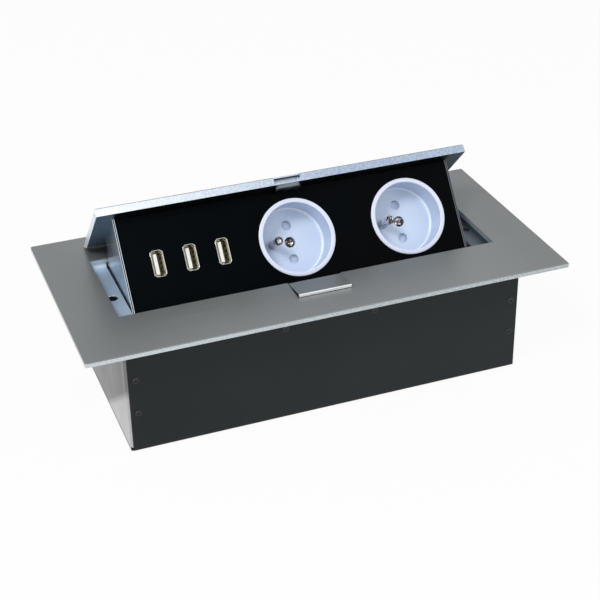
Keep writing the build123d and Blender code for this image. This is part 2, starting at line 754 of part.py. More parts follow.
def torsion_spring():
    """Round wire coil round the pin, with one leg in the cheek and one in the end plate."""
    start_x = CHEEK_X + BUSH_FLANGE_THICK + SPRING_IN_GAP
    end_x = END_IN_X - SPRING_OUT_GAP
    length = end_x - start_x
    coil = Helix(pitch=length / SPRING_TURNS, height=length, radius=SPRING_RADIUS)
    profile = Plane(origin=coil @ 0, z_dir=coil % 0) * Circle(SPRING_WIRE)
    wire = sweep(profile, path=coil, is_frenet=True)
    body = Pos(start_x, PIVOT_Y, PIVOT_Z) * Rot(0, 90, 0) * wire
    low_z = PIVOT_Z - SPRING_RADIUS
    leg_y = PIVOT_Y - SPRING_LEG
    leg_z = PIVOT_Z - SPRING_LEG
    body += rod(SPRING_WIRE, (start_x, PIVOT_Y, low_z), (0, -1, 0), SPRING_LEG)
    body += rod(SPRING_WIRE, (start_x + SPRING_WIRE, leg_y, low_z), (-1, 0, 0), SPRING_HOOKS[0])
    body += rod(SPRING_WIRE, (end_x, PIVOT_Y, low_z), (0, 0, -1), SPRING_LEG - SPRING_RADIUS)
    body += rod(SPRING_WIRE, (end_x - SPRING_WIRE, PIVOT_Y, leg_z), (1, 0, 0), SPRING_HOOKS[1])
    return body


def lid_plate():
    """Thick lid with a notch in its front edge and a long chamfer under its rear edge."""
    outline = [
        (0, 0),
        (LID_DEPTH, 0),
        (LID_DEPTH, -LID_NOSE),
        (LID_DEPTH - LID_CHAMFER, -LID_THICK),
        (0, -LID_THICK),
    ]
    lid = side_slab(outline, -LID_X, LID_X)
    lid = chamfer(lid.faces().sort_by(Axis.Z)[-1].edges(), LID_BREAK)
    notch_z = (-LID_THICK + NOTCH_SHELF, PAST)
    lid -= block((-NOTCH_WIDTH / 2, NOTCH_WIDTH / 2), (-PAST, NOTCH_DEPTH), notch_z)
    for x, y in lid_screw_spots():
        lid -= rod(LID_SHANK_RADIUS, (x, y, -LID_THICK), (0, 0, 1), LID_SCREW_BITE)
    for x in (-STRIKE_SCREW_X, STRIKE_SCREW_X):
        lid -= rod(STRIKE_SCREW_RADIUS, (x, STRIKE_SCREW_BACK, -LID_THICK), (0, 0, 1), STRIKE_SCREW_BITE)
    return LID_PLANE * lid


def lid_screw_spots():
    """Where screws come up from the cheeks' top flanges, from the lid's front edge."""
    spots = []
    for side in (-1, 1):
        for back in CHEEK_SCREW_BACKS:
            spots.append((side * (PANEL_X - CHEEK_FLANGE / 2), back))
    for x in COVER_SCREW_X:
        spots.append((x, COVER_SCREW_BACK))
    return spots


def lid_screws():
    """Pan screws that fasten the cheeks' and the cover's flanges up into the lid."""
    screws = []
    for x, y in lid_screw_spots():
        sheet = COVER_THICK + SEAT_GAP if x in COVER_SCREW_X else CHEEK_THICK
        under = -LID_THICK - sheet
        shank = rod(LID_SHANK_RADIUS, (x, y, under), (0, 0, 1), sheet + LID_SCREW_BITE - 2 * SEAT_GAP)
        head = rod(LID_HEAD_RADIUS, (x, y, under), (0, 0, -1), LID_HEAD_HEIGHT)
        slot = Pos(x, y, under - LID_HEAD_HEIGHT) * Box(LID_SLOT_LENGTH, LID_SLOT_WIDTH, 2 * LID_SLOT_DEPTH)
        screws.append(LID_PLANE * (shank + head - slot))
    return Compound(children=screws)


def strike_plate():
    """Dark steel wear plate under the notch, where the catch takes hold."""
    half = STRIKE_WIDTH / 2
    plate = block((-half, half), (STRIKE_SETBACK, STRIKE_DEPTH), (-STRIKE_UNDER, -LID_THICK))
    plate = chamfer(plate.edges().filter_by(Axis.Z).sort_by(Axis.Y)[:2], STRIKE_CORNER)
    for x in (-STRIKE_SCREW_X, STRIKE_SCREW_X):
        plate -= Pos(x, STRIKE_SCREW_BACK, -STRIKE_UNDER) * strike_screw_shape(SEAT_GAP, PAST)
    return LID_PLANE * plate


def strike_screw_shape(extra, past):
    """A small countersunk screw, point up, with some room round its head, or the hole for it."""
    length = STRIKE_THICK + STRIKE_SCREW_BITE - STRIKE_END_GAP
    wide = STRIKE_HEAD_RADIUS + extra
    profile = [
        (0, -past),
        (wide, -past),
        (wide, 0),
        (STRIKE_SCREW_RADIUS, STRIKE_HEAD_DEPTH),
        (STRIKE_SCREW_RADIUS, length),
        (0, length),
    ]
    if past == 0:
        profile = profile[1:]
        profile[0] = (0, 0)
    return turned(profile)


def strike_screws():
    """Two small countersunk screws that hold the strike plate up to the lid."""
    screws = []
    for x in (-STRIKE_SCREW_X, STRIKE_SCREW_X):
        screws.append(LID_PLANE * Pos(x, STRIKE_SCREW_BACK, -STRIKE_UNDER) * strike_screw_shape(0, 0))
    return Compound(children=screws)


def cheek_outline():
    """The gooseneck's side outline: wedge, slot for the frame's rear lip, and pivot arm."""
    lip_face = OPEN_REAR - CHEEK_LIP_GAP
    slot_low = LIP_LOW - NECK_UNDER
    lid_rear = lip_face + NECK_REACH
    shoulder = (PIVOT_Y - SHOULDER_IN, slot_low - SHOULDER_DROP)
    low_y, low_z = cover_corner()
    chin = (low_y, low_z - CHIN_DROP)
    return [
        on_panel(0, 0),
        (lid_rear, lid_underside_at(lid_rear)),
        (lip_face, TOP + NECK_RISE),
        (lip_face, slot_low),
        shoulder,
        touch_round(shoulder, 1),
        (PIVOT_Y, PIVOT_Z),
        touch_round(chin, -1),
        chin,
        on_panel(PANEL_LENGTH, 0),
    ]


def touch_round(point, side):
    """Where a line from a point touches the cheek's round end."""
    back = point[0] - PIVOT_Y
    up = point[1] - PIVOT_Z
    angle = atan2(up, back) - side * acos(CHEEK_ROUND / hypot(back, up))
    return (PIVOT_Y + CHEEK_ROUND * cos(angle), PIVOT_Z + CHEEK_ROUND * sin(angle))


def cover_corner():
    """The lowest corner of the module's underside, clear of the socket bases."""
    return on_panel(SOCKET_DROP + BASE_HEIGHT / 2 + COVER_CLEAR_LOW, BASE_BACK + COVER_CLEAR_BACK)


def cheek():
    """Bright gooseneck side of the module, with flanges under the lid and behind the panel."""
    wall = side_slab(cheek_outline(), PANEL_X, CHEEK_X)
    neck_y = (OPEN_REAR - CHEEK_LIP_GAP - NEAR, PIVOT_Y - SHOULDER_IN + NEAR)
    corners = wall.edges().filter_by(Axis.X)
    neck = corners.filter_by(lambda e: neck_y[0] < e.center().Y < neck_y[1] and e.center().Z > PIVOT_Z)
    wall = fillet(neck, NECK_ROUND)
    wall += rod(CHEEK_ROUND, (PANEL_X, PIVOT_Y, PIVOT_Z), (1, 0, 0), CHEEK_THICK)
    top_x = (PANEL_X - CHEEK_FLANGE, PANEL_X)
    wall += LID_PLANE * block(top_x, CHEEK_TAB_BACKS, (-LID_THICK - CHEEK_THICK, -LID_THICK))
    front_x = (PANEL_X - SOCKET_EDGE + CUP_OUTER + CHEEK_FRONT_GAP, PANEL_X)
    front_y = (-PANEL_LENGTH + CHEEK_FRONT_ENDS[1], -CHEEK_FRONT_ENDS[0])
    back = PANEL_THICK + SEAT_GAP
    wall += PANEL_PLANE * block(front_x, front_y, (-back - CHEEK_THICK, -back))
    for x, y in lid_screw_spots():
        if x > PANEL_X - CHEEK_FLANGE:
            wall -= LID_PLANE * Pos(x, y, -LID_THICK) * Cylinder(LID_HOLE_RADIUS, 4 * CHEEK_THICK)
    through = CHEEK_THICK + 2 * PAST
    wall -= rod(BUSH_RADIUS, (PANEL_X - PAST, PIVOT_Y, PIVOT_Z), (1, 0, 0), through)
    leg = (PANEL_X - PAST, PIVOT_Y - SPRING_LEG, PIVOT_Z - SPRING_RADIUS)
    return wall - rod(SPRING_HOLE_RADIUS, leg, (1, 0, 0), through)


def socket_panel():
    """Gloss black panel with round holes for the sockets and slots for the USB ports."""
    half = PANEL_X - SEAT_GAP
    face = block((-half, half), (-PANEL_LENGTH, -PANEL_TOP_GAP), (-PANEL_THICK, 0))
    heel = block((-half, half), (-PANEL_LENGTH, -PANEL_LENGTH + PANEL_THICK), (-PANEL_HEEL, 0))
    panel = face + heel
    low_edge = panel.edges().filter_by(Axis.X).sort_by(Axis.Y)[:2].sort_by(Axis.Z)[-1]
    panel = fillet(low_edge, PANEL_ROUND)
    for x in SOCKET_X:
        panel -= Pos(x, -SOCKET_DROP, 0) * Cylinder(CUP_OUTER + SEAT_GAP, 4 * PANEL_THICK)
    slot_width = USB_SHELL_WIDTH + 2 * USB_SLOT_GAP
    slot_height = USB_SHELL_HEIGHT + 2 * USB_SLOT_GAP
    slot = RectangleRounded(slot_width, slot_height, USB_SHELL_CORNER + SEAT_GAP)
    for x in USB_X:
        panel -= Pos(x, -SOCKET_DROP, -2 * PANEL_THICK) * extrude(slot, amount=4 * PANEL_THICK)
    for x in POST_X:
        root = (x, -SOCKET_DROP, -PANEL_THICK / 2)
        panel += rod(POST_RADIUS, root, (0, 0, -1), USB_LENGTH - PANEL_THICK / 2)
        panel -= rod(POST_BORE, (x, -SOCKET_DROP, -USB_LENGTH), (0, 0, 1), POST_BORE_DEPTH)
    return PANEL_PLANE * panel


def rear_cover():
    """Folded sheet that closes the module behind and below."""
    half = PANEL_X - SEAT_GAP
    cover = folded(cover_path(), COVER_THICK, COVER_THICK, -half, half)
    wall_y = OPEN_REAR - COVER_LIP_GAP
    wall_back = (wall_y - on_lid(0, LID_THICK)[0]) / cos(radians(OPEN_ANGLE))
    notch_y = (COVER_TAB_BACK - PAST, wall_back - COVER_NOTCH)
    notch_z = (-LID_THICK - 2 * COVER_THICK, -LID_THICK)
    for side in (-1, 1):
        end_x = span(side, PANEL_X - CHEEK_FLANGE - COVER_END_GAP, PANEL_X + PAST)
        cover -= LID_PLANE * block(end_x, notch_y, notch_z)
    for x in COVER_SCREW_X:
        cover -= LID_PLANE * Pos(x, COVER_SCREW_BACK, -LID_THICK) * Cylinder(LID_HOLE_RADIUS, 5 * COVER_THICK)
    return cover - cover_hole_plane() * Cylinder(COVER_HOLE, 8 * COVER_THICK)


def cover_path():
    """The cover's inner side path, from its flange under the lid to the panel's heel."""
    inner = OPEN_REAR - COVER_LIP_GAP - COVER_THICK
    under = LID_THICK + COVER_THICK + SEAT_GAP / 2
    turn_z = lid_underside_at(inner) - (under - LID_THICK) / cos(radians(OPEN_ANGLE))
    low_y, low_z = cover_corner()
    heel_down = PANEL_LENGTH - PANEL_THICK - COVER_THICK - SEAT_GAP / 2
    return [
        on_lid(COVER_TAB_BACK, under),
        (inner, turn_z),
        (inner, COVER_KNEE_Z),
        (low_y, low_z + COVER_RISE),
        on_panel(heel_down, COVER_HEEL[0]),
        on_panel(heel_down, COVER_HEEL[1]),
    ]


def cover_hole_plane():
    """The middle of the cable hole in the cover's lower sheet, facing out."""
    knee_y, knee_z = cover_path()[2]
    low_y, low_z = cover_path()[3]
    middle = (COVER_HOLE_X, (knee_y + low_y) / 2, (knee_z + low_z) / 2)
    return Plane(origin=middle, x_dir=(1, 0, 0), z_dir=(0, knee_z - low_z, low_y - knee_y))


def cover_grommet():
    """Soft ring in the cover's cable hole."""
    lip = COVER_HOLE + COVER_RING_LIP
    profile = [
        (COVER_RING_BORE, -COVER_RING_THICK),
        (lip, -COVER_RING_THICK),
        (lip, 0),
        (COVER_HOLE, 0),
        (COVER_HOLE, COVER_THICK),
        (lip, COVER_THICK),
        (lip, COVER_THICK + COVER_RING_THICK),
        (COVER_RING_BORE, COVER_THICK + COVER_RING_THICK),
    ]
    return cover_hole_plane() * turned(profile)


def socket_insert():
    """White moulded socket face: raised rim, round cup with a coved floor, pin holes."""
    cove = 0.3 * CUP_COVE
    profile = [
        (0, -CUP_BACK),
        (CUP_OUTER, -CUP_BACK),
        (CUP_OUTER, 0),
        (RIM_RADIUS, 0),
        (RIM_RADIUS, RIM_PROUD - RIM_EDGE_HEIGHT),
        (RIM_RADIUS - RIM_EDGE, RIM_PROUD),
        (CUP_RADIUS + RIM_LAND, RIM_PROUD),
        (CUP_RADIUS, RIM_PROUD - RIM_SLOPE),
        (CUP_RADIUS, -CUP_DEPTH + CUP_COVE),
        (CUP_RADIUS - cove, -CUP_DEPTH + cove),
        (CUP_RADIUS - CUP_COVE, -CUP_DEPTH),
        (0, -CUP_DEPTH),
    ]
    cup = turned(profile)
    through = 4 * CUP_FLOOR
    for side in (-1, 1):
        cup -= Pos(0, side * PIN_SPACING / 2, -CUP_DEPTH) * Cylinder(PIN_HOLE_RADIUS, through)
    cup -= Pos(-EARTH_OFFSET, 0, -CUP_DEPTH) * Cylinder(EARTH_ROOT_RADIUS, through)
    cup -= Pos(0, 0, -CUP_DEPTH) * Cylinder(CENTRE_HOLE_RADIUS, through)
    cup -= Pos(0, 0, -CUP_DEPTH) * Cylinder(CENTRE_HEAD_RADIUS + CENTRE_HEAD_GAP, 2 * CENTRE_HEAD_HEIGHT)
    cup += Pos(CUP_RADIUS, 0, -CUP_DEPTH / 2) * Box(2 * KEY_PROUD, KEY_LENGTH, KEY_THICK)
    for side in (-1, 1):
        cup += Rot(0, 0, 90 - side * 90) * panel_lug()
    return cup


def panel_lug():
    """Snap wedge on the cup's outside that holds the face in the panel."""
    inner = CUP_OUTER - 2 * SEAT_GAP
    top = -PANEL_THICK - SEAT_GAP
    wedge = [
        (inner, top),
        (CUP_OUTER + SEAT_GAP + LUG_PROUD, top),
        (inner, top - LUG_HEIGHT),
    ]
    return side_slab(wedge, -LUG_LENGTH / 2, LUG_LENGTH / 2)


def socket_base():
    """Moulded block behind the cup that holds the contacts and guides the shutter."""
    front = -BASE_FRONT
    size = RectangleRounded(BASE_WIDTH, BASE_HEIGHT, BASE_CORNER)
    base = Pos(0, 0, -BASE_BACK) * extrude(size, amount=BASE_DEPTH)
    rail_z = (front, -CUP_BACK)
    rail_in = SHUTTER_HALF + SHUTTER_SIDE_GAP
    for side in (-1, 1):
        base += block((-BASE_STOP_X, BASE_STOP_X), span(side, rail_in, BASE_HEIGHT / 2), rail_z)
    base += block((BASE_STOP_X - BASE_STOP, BASE_STOP_X), (-rail_in, rail_in), rail_z)
    clamp_x = BASE_WIDTH / 2 - CLAMP_WELL_INSET
    for side in (-1, 1):
        pin_y = side * PIN_SPACING / 2
        base -= rod(WELL_RADIUS, (0, pin_y, front), (0, 0, -1), WELL_DEPTH)
        base -= rod(CLAMP_WELL_RADIUS, (clamp_x, pin_y, -BASE_BACK), (0, 0, 1), CLAMP_WELL_DEPTH)
    base -= rod(EARTH_ROOT_RADIUS, (-EARTH_OFFSET, 0, front), (0, 0, -1), EARTH_WELL_DEPTH)
    base -= rod(CENTRE_BORE_RADIUS, (0, 0, front), (0, 0, -1), CENTRE_BORE_DEPTH)
    return base


def shutter():
    """White slide that shuts both pin holes until two pins push it aside together."""
    limits_z = (-SHUTTER_MIDDLE - SHUTTER_THICK / 2, -SHUTTER_MIDDLE + SHUTTER_THICK / 2)
    plate = block((SHUTTER_LEFT, SHUTTER_RIGHT), (-SHUTTER_HALF, SHUTTER_HALF), limits_z)
    slot_x = (-SHUTTER_TRAVEL - SHUTTER_SLOT, SHUTTER_SLOT)
    plate -= block(slot_x, (-SHUTTER_SLOT, SHUTTER_SLOT), (limits_z[0] - PAST, limits_z[1] + PAST))
    left_edges = plate.edges().filter_by(Axis.Y).filter_by(lambda e: e.center().X < SHUTTER_LEFT + NEAR)
    return chamfer(left_edges.filter_by(lambda e: e.center().Z > -SHUTTER_MIDDLE), SHUTTER_RAMP)


def contact_sleeves():
    """Brass sleeves that grip the plug's two round pins."""
    sleeves = []
    for side in (-1, 1):
        sleeve = Cylinder(SLEEVE_RADIUS, SLEEVE_LENGTH) - Cylinder(SLEEVE_BORE, 2 * SLEEVE_LENGTH)
        sleeve -= Pos(SLEEVE_RADIUS, 0, 0) * Box(2 * SLEEVE_BORE, SLEEVE_SLOT, 2 * SLEEVE_LENGTH)
        sleeves.append(Pos(0, side * PIN_SPACING / 2, -BASE_FRONT - SLEEVE_DEPTH) * sleeve)
    return Compound(children=sleeves)


def earth_pin():
    """Nickel earth pin: a thinner root through the floor, a foot on it and a domed tip."""
    root = -BASE_FRONT - EARTH_ROOT_DEPTH
    tip = -CUP_DEPTH + EARTH_LENGTH
    profile = [
        (0, root),
        (EARTH_ROOT_RADIUS, root),
        (EARTH_ROOT_RADIUS, -CUP_DEPTH),
        (EARTH_RADIUS, -CUP_DEPTH + EARTH_FOOT),
        (EARTH_RADIUS, tip),
        (0, tip),
    ]
    pin = turned(profile)
    pin = fillet(pin.edges().sort_by(Axis.Z)[-1], EARTH_DOME)
    return Pos(-EARTH_OFFSET, 0, 0) * pin


def centre_screw():
    """Slotted screw that draws the socket's face and base together."""
    seat = (0, 0, -CUP_DEPTH - CENTRE_HEAD_HEIGHT)
    head = rod(CENTRE_HEAD_RADIUS, seat, (0, 0, 1), CENTRE_HEAD_HEIGHT)
    head -= Pos(0, 0, -CUP_DEPTH) * Box(CENTRE_SLOT[0], CENTRE_SLOT[1], 2 * CENTRE_SLOT[2])
    return head + rod(CENTRE_SHANK_RADIUS, seat, (0, 0, -1), CENTRE_SHANK_LENGTH)


def shutter_spring():
    """Small coil that pushes the shutter back over the holes."""
    start = SHUTTER_RIGHT + SPRING_SEAT_GAP
    length = BASE_STOP_X - BASE_STOP - SPRING_SEAT_GAP - start
    coil = Helix(pitch=length / SPRING_COIL_TURNS, height=length, radius=SPRING_COIL)
    profile = Plane(origin=coil @ 0, z_dir=coil % 0) * Circle(SPRING_COIL_WIRE)
    wire = sweep(profile, path=coil, is_frenet=True)
    return Pos(start, 0, -SHUTTER_MIDDLE) * Rot(0, 90, 0) * wire


def usb_outline(grow, corner):
    """The port shell's outline, made larger or smaller all round."""
    return RectangleRounded(USB_SHELL_WIDTH + 2 * grow, USB_SHELL_HEIGHT + 2 * grow, corner)


def usb_shell():
    """Folded nickel shell of one port with a flared mouth."""
    step = SEAT_GAP / 5
    inner_corner = USB_SHELL_CORNER - USB_WALL / 2
    inner_flare = USB_FLARE - USB_FLARE_RIM
    tube = Pos(0, 0, -USB_LENGTH) * extrude(usb_outline(0, USB_SHELL_CORNER), amount=USB_LENGTH - step)
    mouth = loft(
        [
            Pos(0, 0, -step) * usb_outline(0, USB_SHELL_CORNER),
            Pos(0, 0, USB_PROUD) * usb_outline(USB_FLARE, USB_SHELL_CORNER + USB_WALL),
        ]
    )
    bore_length = USB_LENGTH - USB_BACK
    bore = Pos(0, 0, -bore_length) * extrude(usb_outline(-USB_WALL, inner_corner), amount=bore_length)
    funnel = loft(
        [
            Pos(0, 0, -USB_FLARE_RIM) * usb_outline(-USB_WALL, inner_corner),
            Pos(0, 0, USB_PROUD) * usb_outline(inner_flare, inner_corner + USB_WALL),
        ]
    )
    return tube + mouth - bore - funnel


def usb_tongue():
    """Plastic tongue that carries a port's contacts."""
    left = -USB_SHELL_WIDTH / 2 + USB_WALL + TONGUE_INSET
    back = -USB_LENGTH + USB_BACK
    tongue = block(
        (left, left + TONGUE_THICK),
        (-TONGUE_HEIGHT / 2, TONGUE_HEIGHT / 2),
        (back, back + TONGUE_LENGTH),
    )
    end = usb_outline(-USB_WALL, USB_SHELL_CORNER - USB_WALL / 2)
    return tongue + Pos(0, 0, back) * extrude(end, amount=TONGUE_ROOT)


def usb_contacts():
    """Four gilt contact strips on each port's tongue."""
    left = -USB_SHELL_WIDTH / 2 + USB_WALL + TONGUE_INSET + TONGUE_THICK
    strip_z = (-USB_LENGTH + USB_BACK + TONGUE_ROOT, -CONTACT_INSET)
    strips = []
    for x in USB_X:
        for step in CONTACT_STEPS:
            strip_y = (step - CONTACT_WIDTH / 2, step + CONTACT_WIDTH / 2)
            strips.append(panel_spot(x) * block((left, left + CONTACT_THICK), strip_y, strip_z))
    return Compound(children=strips)


def usb_board():
    """Circuit board behind the three ports."""
    board = Box(BOARD_LENGTH, BOARD_HEIGHT, BOARD_THICK)
    for x in POST_X:
        board -= Pos(x - USB_X[1], 0, 0) * Cylinder(BOARD_HOLE_RADIUS, 3 * BOARD_THICK)
    return panel_spot(USB_X[1]) * Pos(0, 0, -USB_LENGTH - BOARD_THICK / 2) * board


def board_screws():
    """Screws that hold the board on the panel's posts."""
    screws = []
    for x in POST_X:
        screw = rod(BOARD_HEAD_RADIUS, (0, 0, -BOARD_BACK), (0, 0, -1), BOARD_HEAD_HEIGHT)
        screw += rod(BOARD_SHANK_RADIUS, (0, 0, -BOARD_BACK), (0, 0, 1), BOARD_SHANK_LENGTH)
        screws.append(panel_spot(x) * screw)
    return Compound(children=screws)


def usb_transformer():
    """Wound transformer block of the charger."""
    middle = -BOARD_BACK - CORE_SIZE[2] / 2
    return panel_spot(USB_X[1]) * Pos(0, 0, middle) * (Box(*CORE_SIZE) + Box(*WINDING_SIZE))


def usb_capacitors():
    """Two can capacitors of the charger."""
    can = fillet(Cylinder(CAN_RADIUS, CAN_HEIGHT).edges(), CAN_ROUND)
    cans = []
    for side in (-1, 1):
        middle = Pos(CAN_SHIFT, side * CAN_PITCH / 2, -BOARD_BACK - CAN_HEIGHT / 2)
        cans.append(panel_spot(USB_X[2]) * middle * can)
    return Compound(children=cans)


def release_tab():
    """Lift tab: a small plate whose front edge stands proud, two knuckles and a hooked tail."""
    half = TAB_WIDTH / 2
    slope = TAB_RISE / TAB_DEPTH
    plate = [
        (TAB_REAR_Y, TOP),
        (TAB_REAR_Y, TOP - TAB_THICK),
        (TAB_FRONT_Y, TOP - TAB_THICK + TAB_RISE),
        (TAB_FRONT_Y, TOP + TAB_RISE),
    ]
    tab = side_slab(plate, -half, half)
    top_edges = tab.edges().filter_by(lambda e: e.center().Z > TOP + TAB_RISE - NEAR)
    tab = chamfer(top_edges, TAB_BREAK)
    root_z = TOP - TAB_THICK + slope * TAB_PIN_BACK + TAB_ROOT
    knuckle = [
        (TAB_PIN_Y - TAB_KNUCKLE, root_z),
        (TAB_PIN_Y + TAB_KNUCKLE, root_z),
        (TAB_PIN_Y + TAB_KNUCKLE, TAB_PIN_Z),
        (TAB_PIN_Y - TAB_KNUCKLE, TAB_PIN_Z),
    ]
    for side in (-1, 1):
        arm_x = span(side, TAB_ARM_X, TAB_ARM_X + TAB_ARM_WIDTH)
        tab += side_slab(knuckle, arm_x[0], arm_x[1])
        tab += rod(TAB_KNUCKLE, (arm_x[0], TAB_PIN_Y, TAB_PIN_Z), (1, 0, 0), TAB_ARM_WIDTH)
    tab += side_slab(tab_tail(root_z), -TAB_TAIL_WIDTH / 2, TAB_TAIL_WIDTH / 2)
    pin_start = (-TAB_WIDTH, TAB_PIN_Y, TAB_PIN_Z)
    return tab - rod(TAB_PIN_RADIUS + RUNNING_GAP, pin_start, (1, 0, 0), 2 * TAB_WIDTH)


def tab_tail(root_z):
    """Side outline of the arm that reaches down and draws the catch back."""
    low_z = TAB_PIN_Z - TAB_TAIL
    hook_y = TAB_REAR_Y + TAB_HOOK_GAP
    half = TAB_TAIL_THICK / 2
    return [
        (TAB_PIN_Y - TAB_KNUCKLE, root_z),
        (TAB_PIN_Y + TAB_KNUCKLE - 2 * SEAT_GAP, root_z),
        (TAB_PIN_Y + half, TAB_PIN_Z - TAB_NECK_DROP),
        (TAB_PIN_Y + half, low_z),
        (hook_y, low_z),
        (hook_y, low_z + TAB_NECK_DROP),
        (hook_y + TAB_HOOK_NOSE, low_z + TAB_NECK_DROP),
        (hook_y + TAB_HOOK_NOSE, low_z - TAB_HOOK_THICK),
        (TAB_PIN_Y - half, low_z - TAB_HOOK_THICK),
        (TAB_PIN_Y - TAB_KNUCKLE, TAB_PIN_Z),
    ]


def tab_pin():
    """Steel pin that the release tab turns on."""
    half = BRACKET_EAR_X + BRACKET_THICK
    return rod(TAB_PIN_RADIUS, (-half, TAB_PIN_Y, TAB_PIN_Z), (1, 0, 0), 2 * half)


def tab_bracket():
    """Folded bracket behind the front wall: two ears for the pin and a floor for the catch."""
    wall_y = -WALL_IN_Y
    wing_half = BRACKET_SCREW_X + BRACKET_WING
    wall_z = (BRACKET_FLOOR_Z, BRACKET_TOP_Z)
    bracket = block((-wing_half, wing_half), (wall_y, wall_y + BRACKET_THICK), wall_z)
    ear = [
        (wall_y, BRACKET_FLOOR_Z),
        (TAB_REAR_Y, BRACKET_FLOOR_Z),
        (TAB_PIN_Y + TAB_KNUCKLE, TAB_PIN_Z),
        (TAB_PIN_Y - TAB_KNUCKLE, TAB_PIN_Z),
        (wall_y, BRACKET_TOP_Z),
    ]
    ear_out = BRACKET_EAR_X + BRACKET_THICK
    for side in (-1, 1):
        ear_x = span(side, BRACKET_EAR_X, ear_out)
        bracket += side_slab(ear, ear_x[0], ear_x[1])
        bracket += rod(TAB_KNUCKLE, (ear_x[0], TAB_PIN_Y, TAB_PIN_Z), (1, 0, 0), BRACKET_THICK)
    floor_z = (BRACKET_FLOOR_Z, BRACKET_FLOOR_Z + BRACKET_THICK)
    bracket += block((-ear_out, ear_out), (wall_y, TAB_REAR_Y), floor_z)
    bracket -= rod(TAB_PIN_RADIUS, (-2 * ear_out, TAB_PIN_Y, TAB_PIN_Z), (1, 0, 0), 4 * ear_out)
    for side in (-1, 1):
        spot = (side * BRACKET_SCREW_X, wall_y - PAST, TOP - BRACKET_SCREW_DROP)
        bracket -= rod(PAN_SHANK_RADIUS, spot, (0, 1, 0), BRACKET_THICK + 2 * PAST)
    return bracket


def bracket_screws():
    """Two dark screws through the front wall into the bracket."""
    height = TOP - BRACKET_SCREW_DROP
    return Compound(children=[pan_screw(side * BRACKET_SCREW_X, height, -1) for side in (-1, 1)])


def latch_leaf():
    """Bent leaf spring whose nose snaps into the notch in the lid's edge."""
    foot_z = BRACKET_FLOOR_Z + BRACKET_THICK
    nose_z = TOP - LID_THICK + NOTCH_SHELF + LEAF_LIFT
    path = [
        (TAB_REAR_Y - LEAF_FOOT, foot_z),
        (TAB_REAR_Y, foot_z),
        (TAB_REAR_Y, nose_z),
        (LID_FRONT + LEAF_BITE, nose_z),
    ]
    leaf = folded(path, LEAF_THICK, LEAF_THICK, -LEAF_WIDTH / 2, LEAF_WIDTH / 2)
    hook_z = TAB_PIN_Z - TAB_TAIL
    half = TAB_TAIL_WIDTH / 2 + LEAF_SLOT_SIDE
    slot_y = (TAB_REAR_Y - 4 * LEAF_THICK, TAB_REAR_Y + 4 * LEAF_THICK)
    return leaf - block((-half, half), slot_y, (hook_z - LEAF_SLOT_ENDS[0], hook_z + LEAF_SLOT_ENDS[1]))


def write_housing():
    """Everything that stays still."""
    single = (
        frame_plate, ledge_screws, housing_shell, cable_grommet, earth_stud, earth_nut, shell_screws,
        tab_bracket, bracket_screws, tab_pin, latch_leaf,
    )
    for make in single:
        save(make.__name__, make())
    for make in (end_plate, pivot_pin, pivot_clip, torsion_spring):
        piece = make()
        save(make.__name__ + "_right", piece)
        save(make.__name__ + "_left", mirrored(piece))


def write_lid():
    """The lid and the module under it."""
    single = (
        lid_plate, lid_screws, strike_plate, strike_screws, socket_panel, rear_cover, cover_grommet,
        usb_contacts, usb_board, board_screws, usb_transformer, usb_capacitors,
    )
    for make in single:
        save(make.__name__, make())
    for make in (cheek, pivot_bush):
        piece = make()
        save(make.__name__ + "_right", piece)
        save(make.__name__ + "_left", mirrored(piece))
    socket_pieces = (
        socket_insert, socket_base, contact_sleeves, earth_pin, centre_screw, shutter_spring, shutter,
    )
    for name, x in zip(("left", "right"), SOCKET_X):
        for make in socket_pieces:
            save(make.__name__ + "_" + name, panel_spot(x) * make())
    for number, x in enumerate(USB_X, start=1):
        save("usb_shell_" + str(number), panel_spot(x) * usb_shell())
        save("usb_tongue_" + str(number), panel_spot(x) * usb_tongue())


write_housing()
write_lid()
save("release_tab", release_tab())
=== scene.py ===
import json
from math import cos, pi, radians, sin

import bpy
from mathutils import Matrix, Vector


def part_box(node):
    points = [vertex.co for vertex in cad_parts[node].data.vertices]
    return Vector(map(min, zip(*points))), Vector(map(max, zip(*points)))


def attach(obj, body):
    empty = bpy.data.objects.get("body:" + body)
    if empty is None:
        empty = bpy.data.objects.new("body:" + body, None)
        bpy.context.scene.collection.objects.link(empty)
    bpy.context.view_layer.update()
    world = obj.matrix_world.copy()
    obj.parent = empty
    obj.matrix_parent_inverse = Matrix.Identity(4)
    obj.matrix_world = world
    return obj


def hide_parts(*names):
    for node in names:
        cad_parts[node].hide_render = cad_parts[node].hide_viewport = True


bl_info = {
    "name": "In-Desk Power Module",
    "version": (1, 0, 0),
    "blender": (4, 5, 0),
    "location": "View3D > Sidebar > Power Module",
    "description": "Finishes and fine pieces for a flush desk module with sockets and charging ports",
    "category": "Object",
}

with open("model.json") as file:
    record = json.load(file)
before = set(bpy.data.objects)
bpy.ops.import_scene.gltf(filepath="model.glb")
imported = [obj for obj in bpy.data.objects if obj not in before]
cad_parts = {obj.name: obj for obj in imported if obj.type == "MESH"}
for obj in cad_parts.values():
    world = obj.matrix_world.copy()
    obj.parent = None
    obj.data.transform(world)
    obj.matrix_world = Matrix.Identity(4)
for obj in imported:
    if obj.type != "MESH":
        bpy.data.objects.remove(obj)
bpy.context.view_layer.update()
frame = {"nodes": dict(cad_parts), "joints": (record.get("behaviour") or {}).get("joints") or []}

MM = 0.001
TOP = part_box("frame_plate")[1][2]
HINGE = next(joint for joint in frame["joints"] if joint["name"] == "lid_hinge")
PIVOT_Y = HINGE["pos_m"][1]
PIVOT_Z = HINGE["pos_m"][2]
OPEN_ANGLE = radians(HINGE["range_deg"][1])
PANEL_LEAN = radians(37.0)
PANEL_EDGE = 95.0 * MM
CHEEK_OUTSIDE = 96.2 * MM
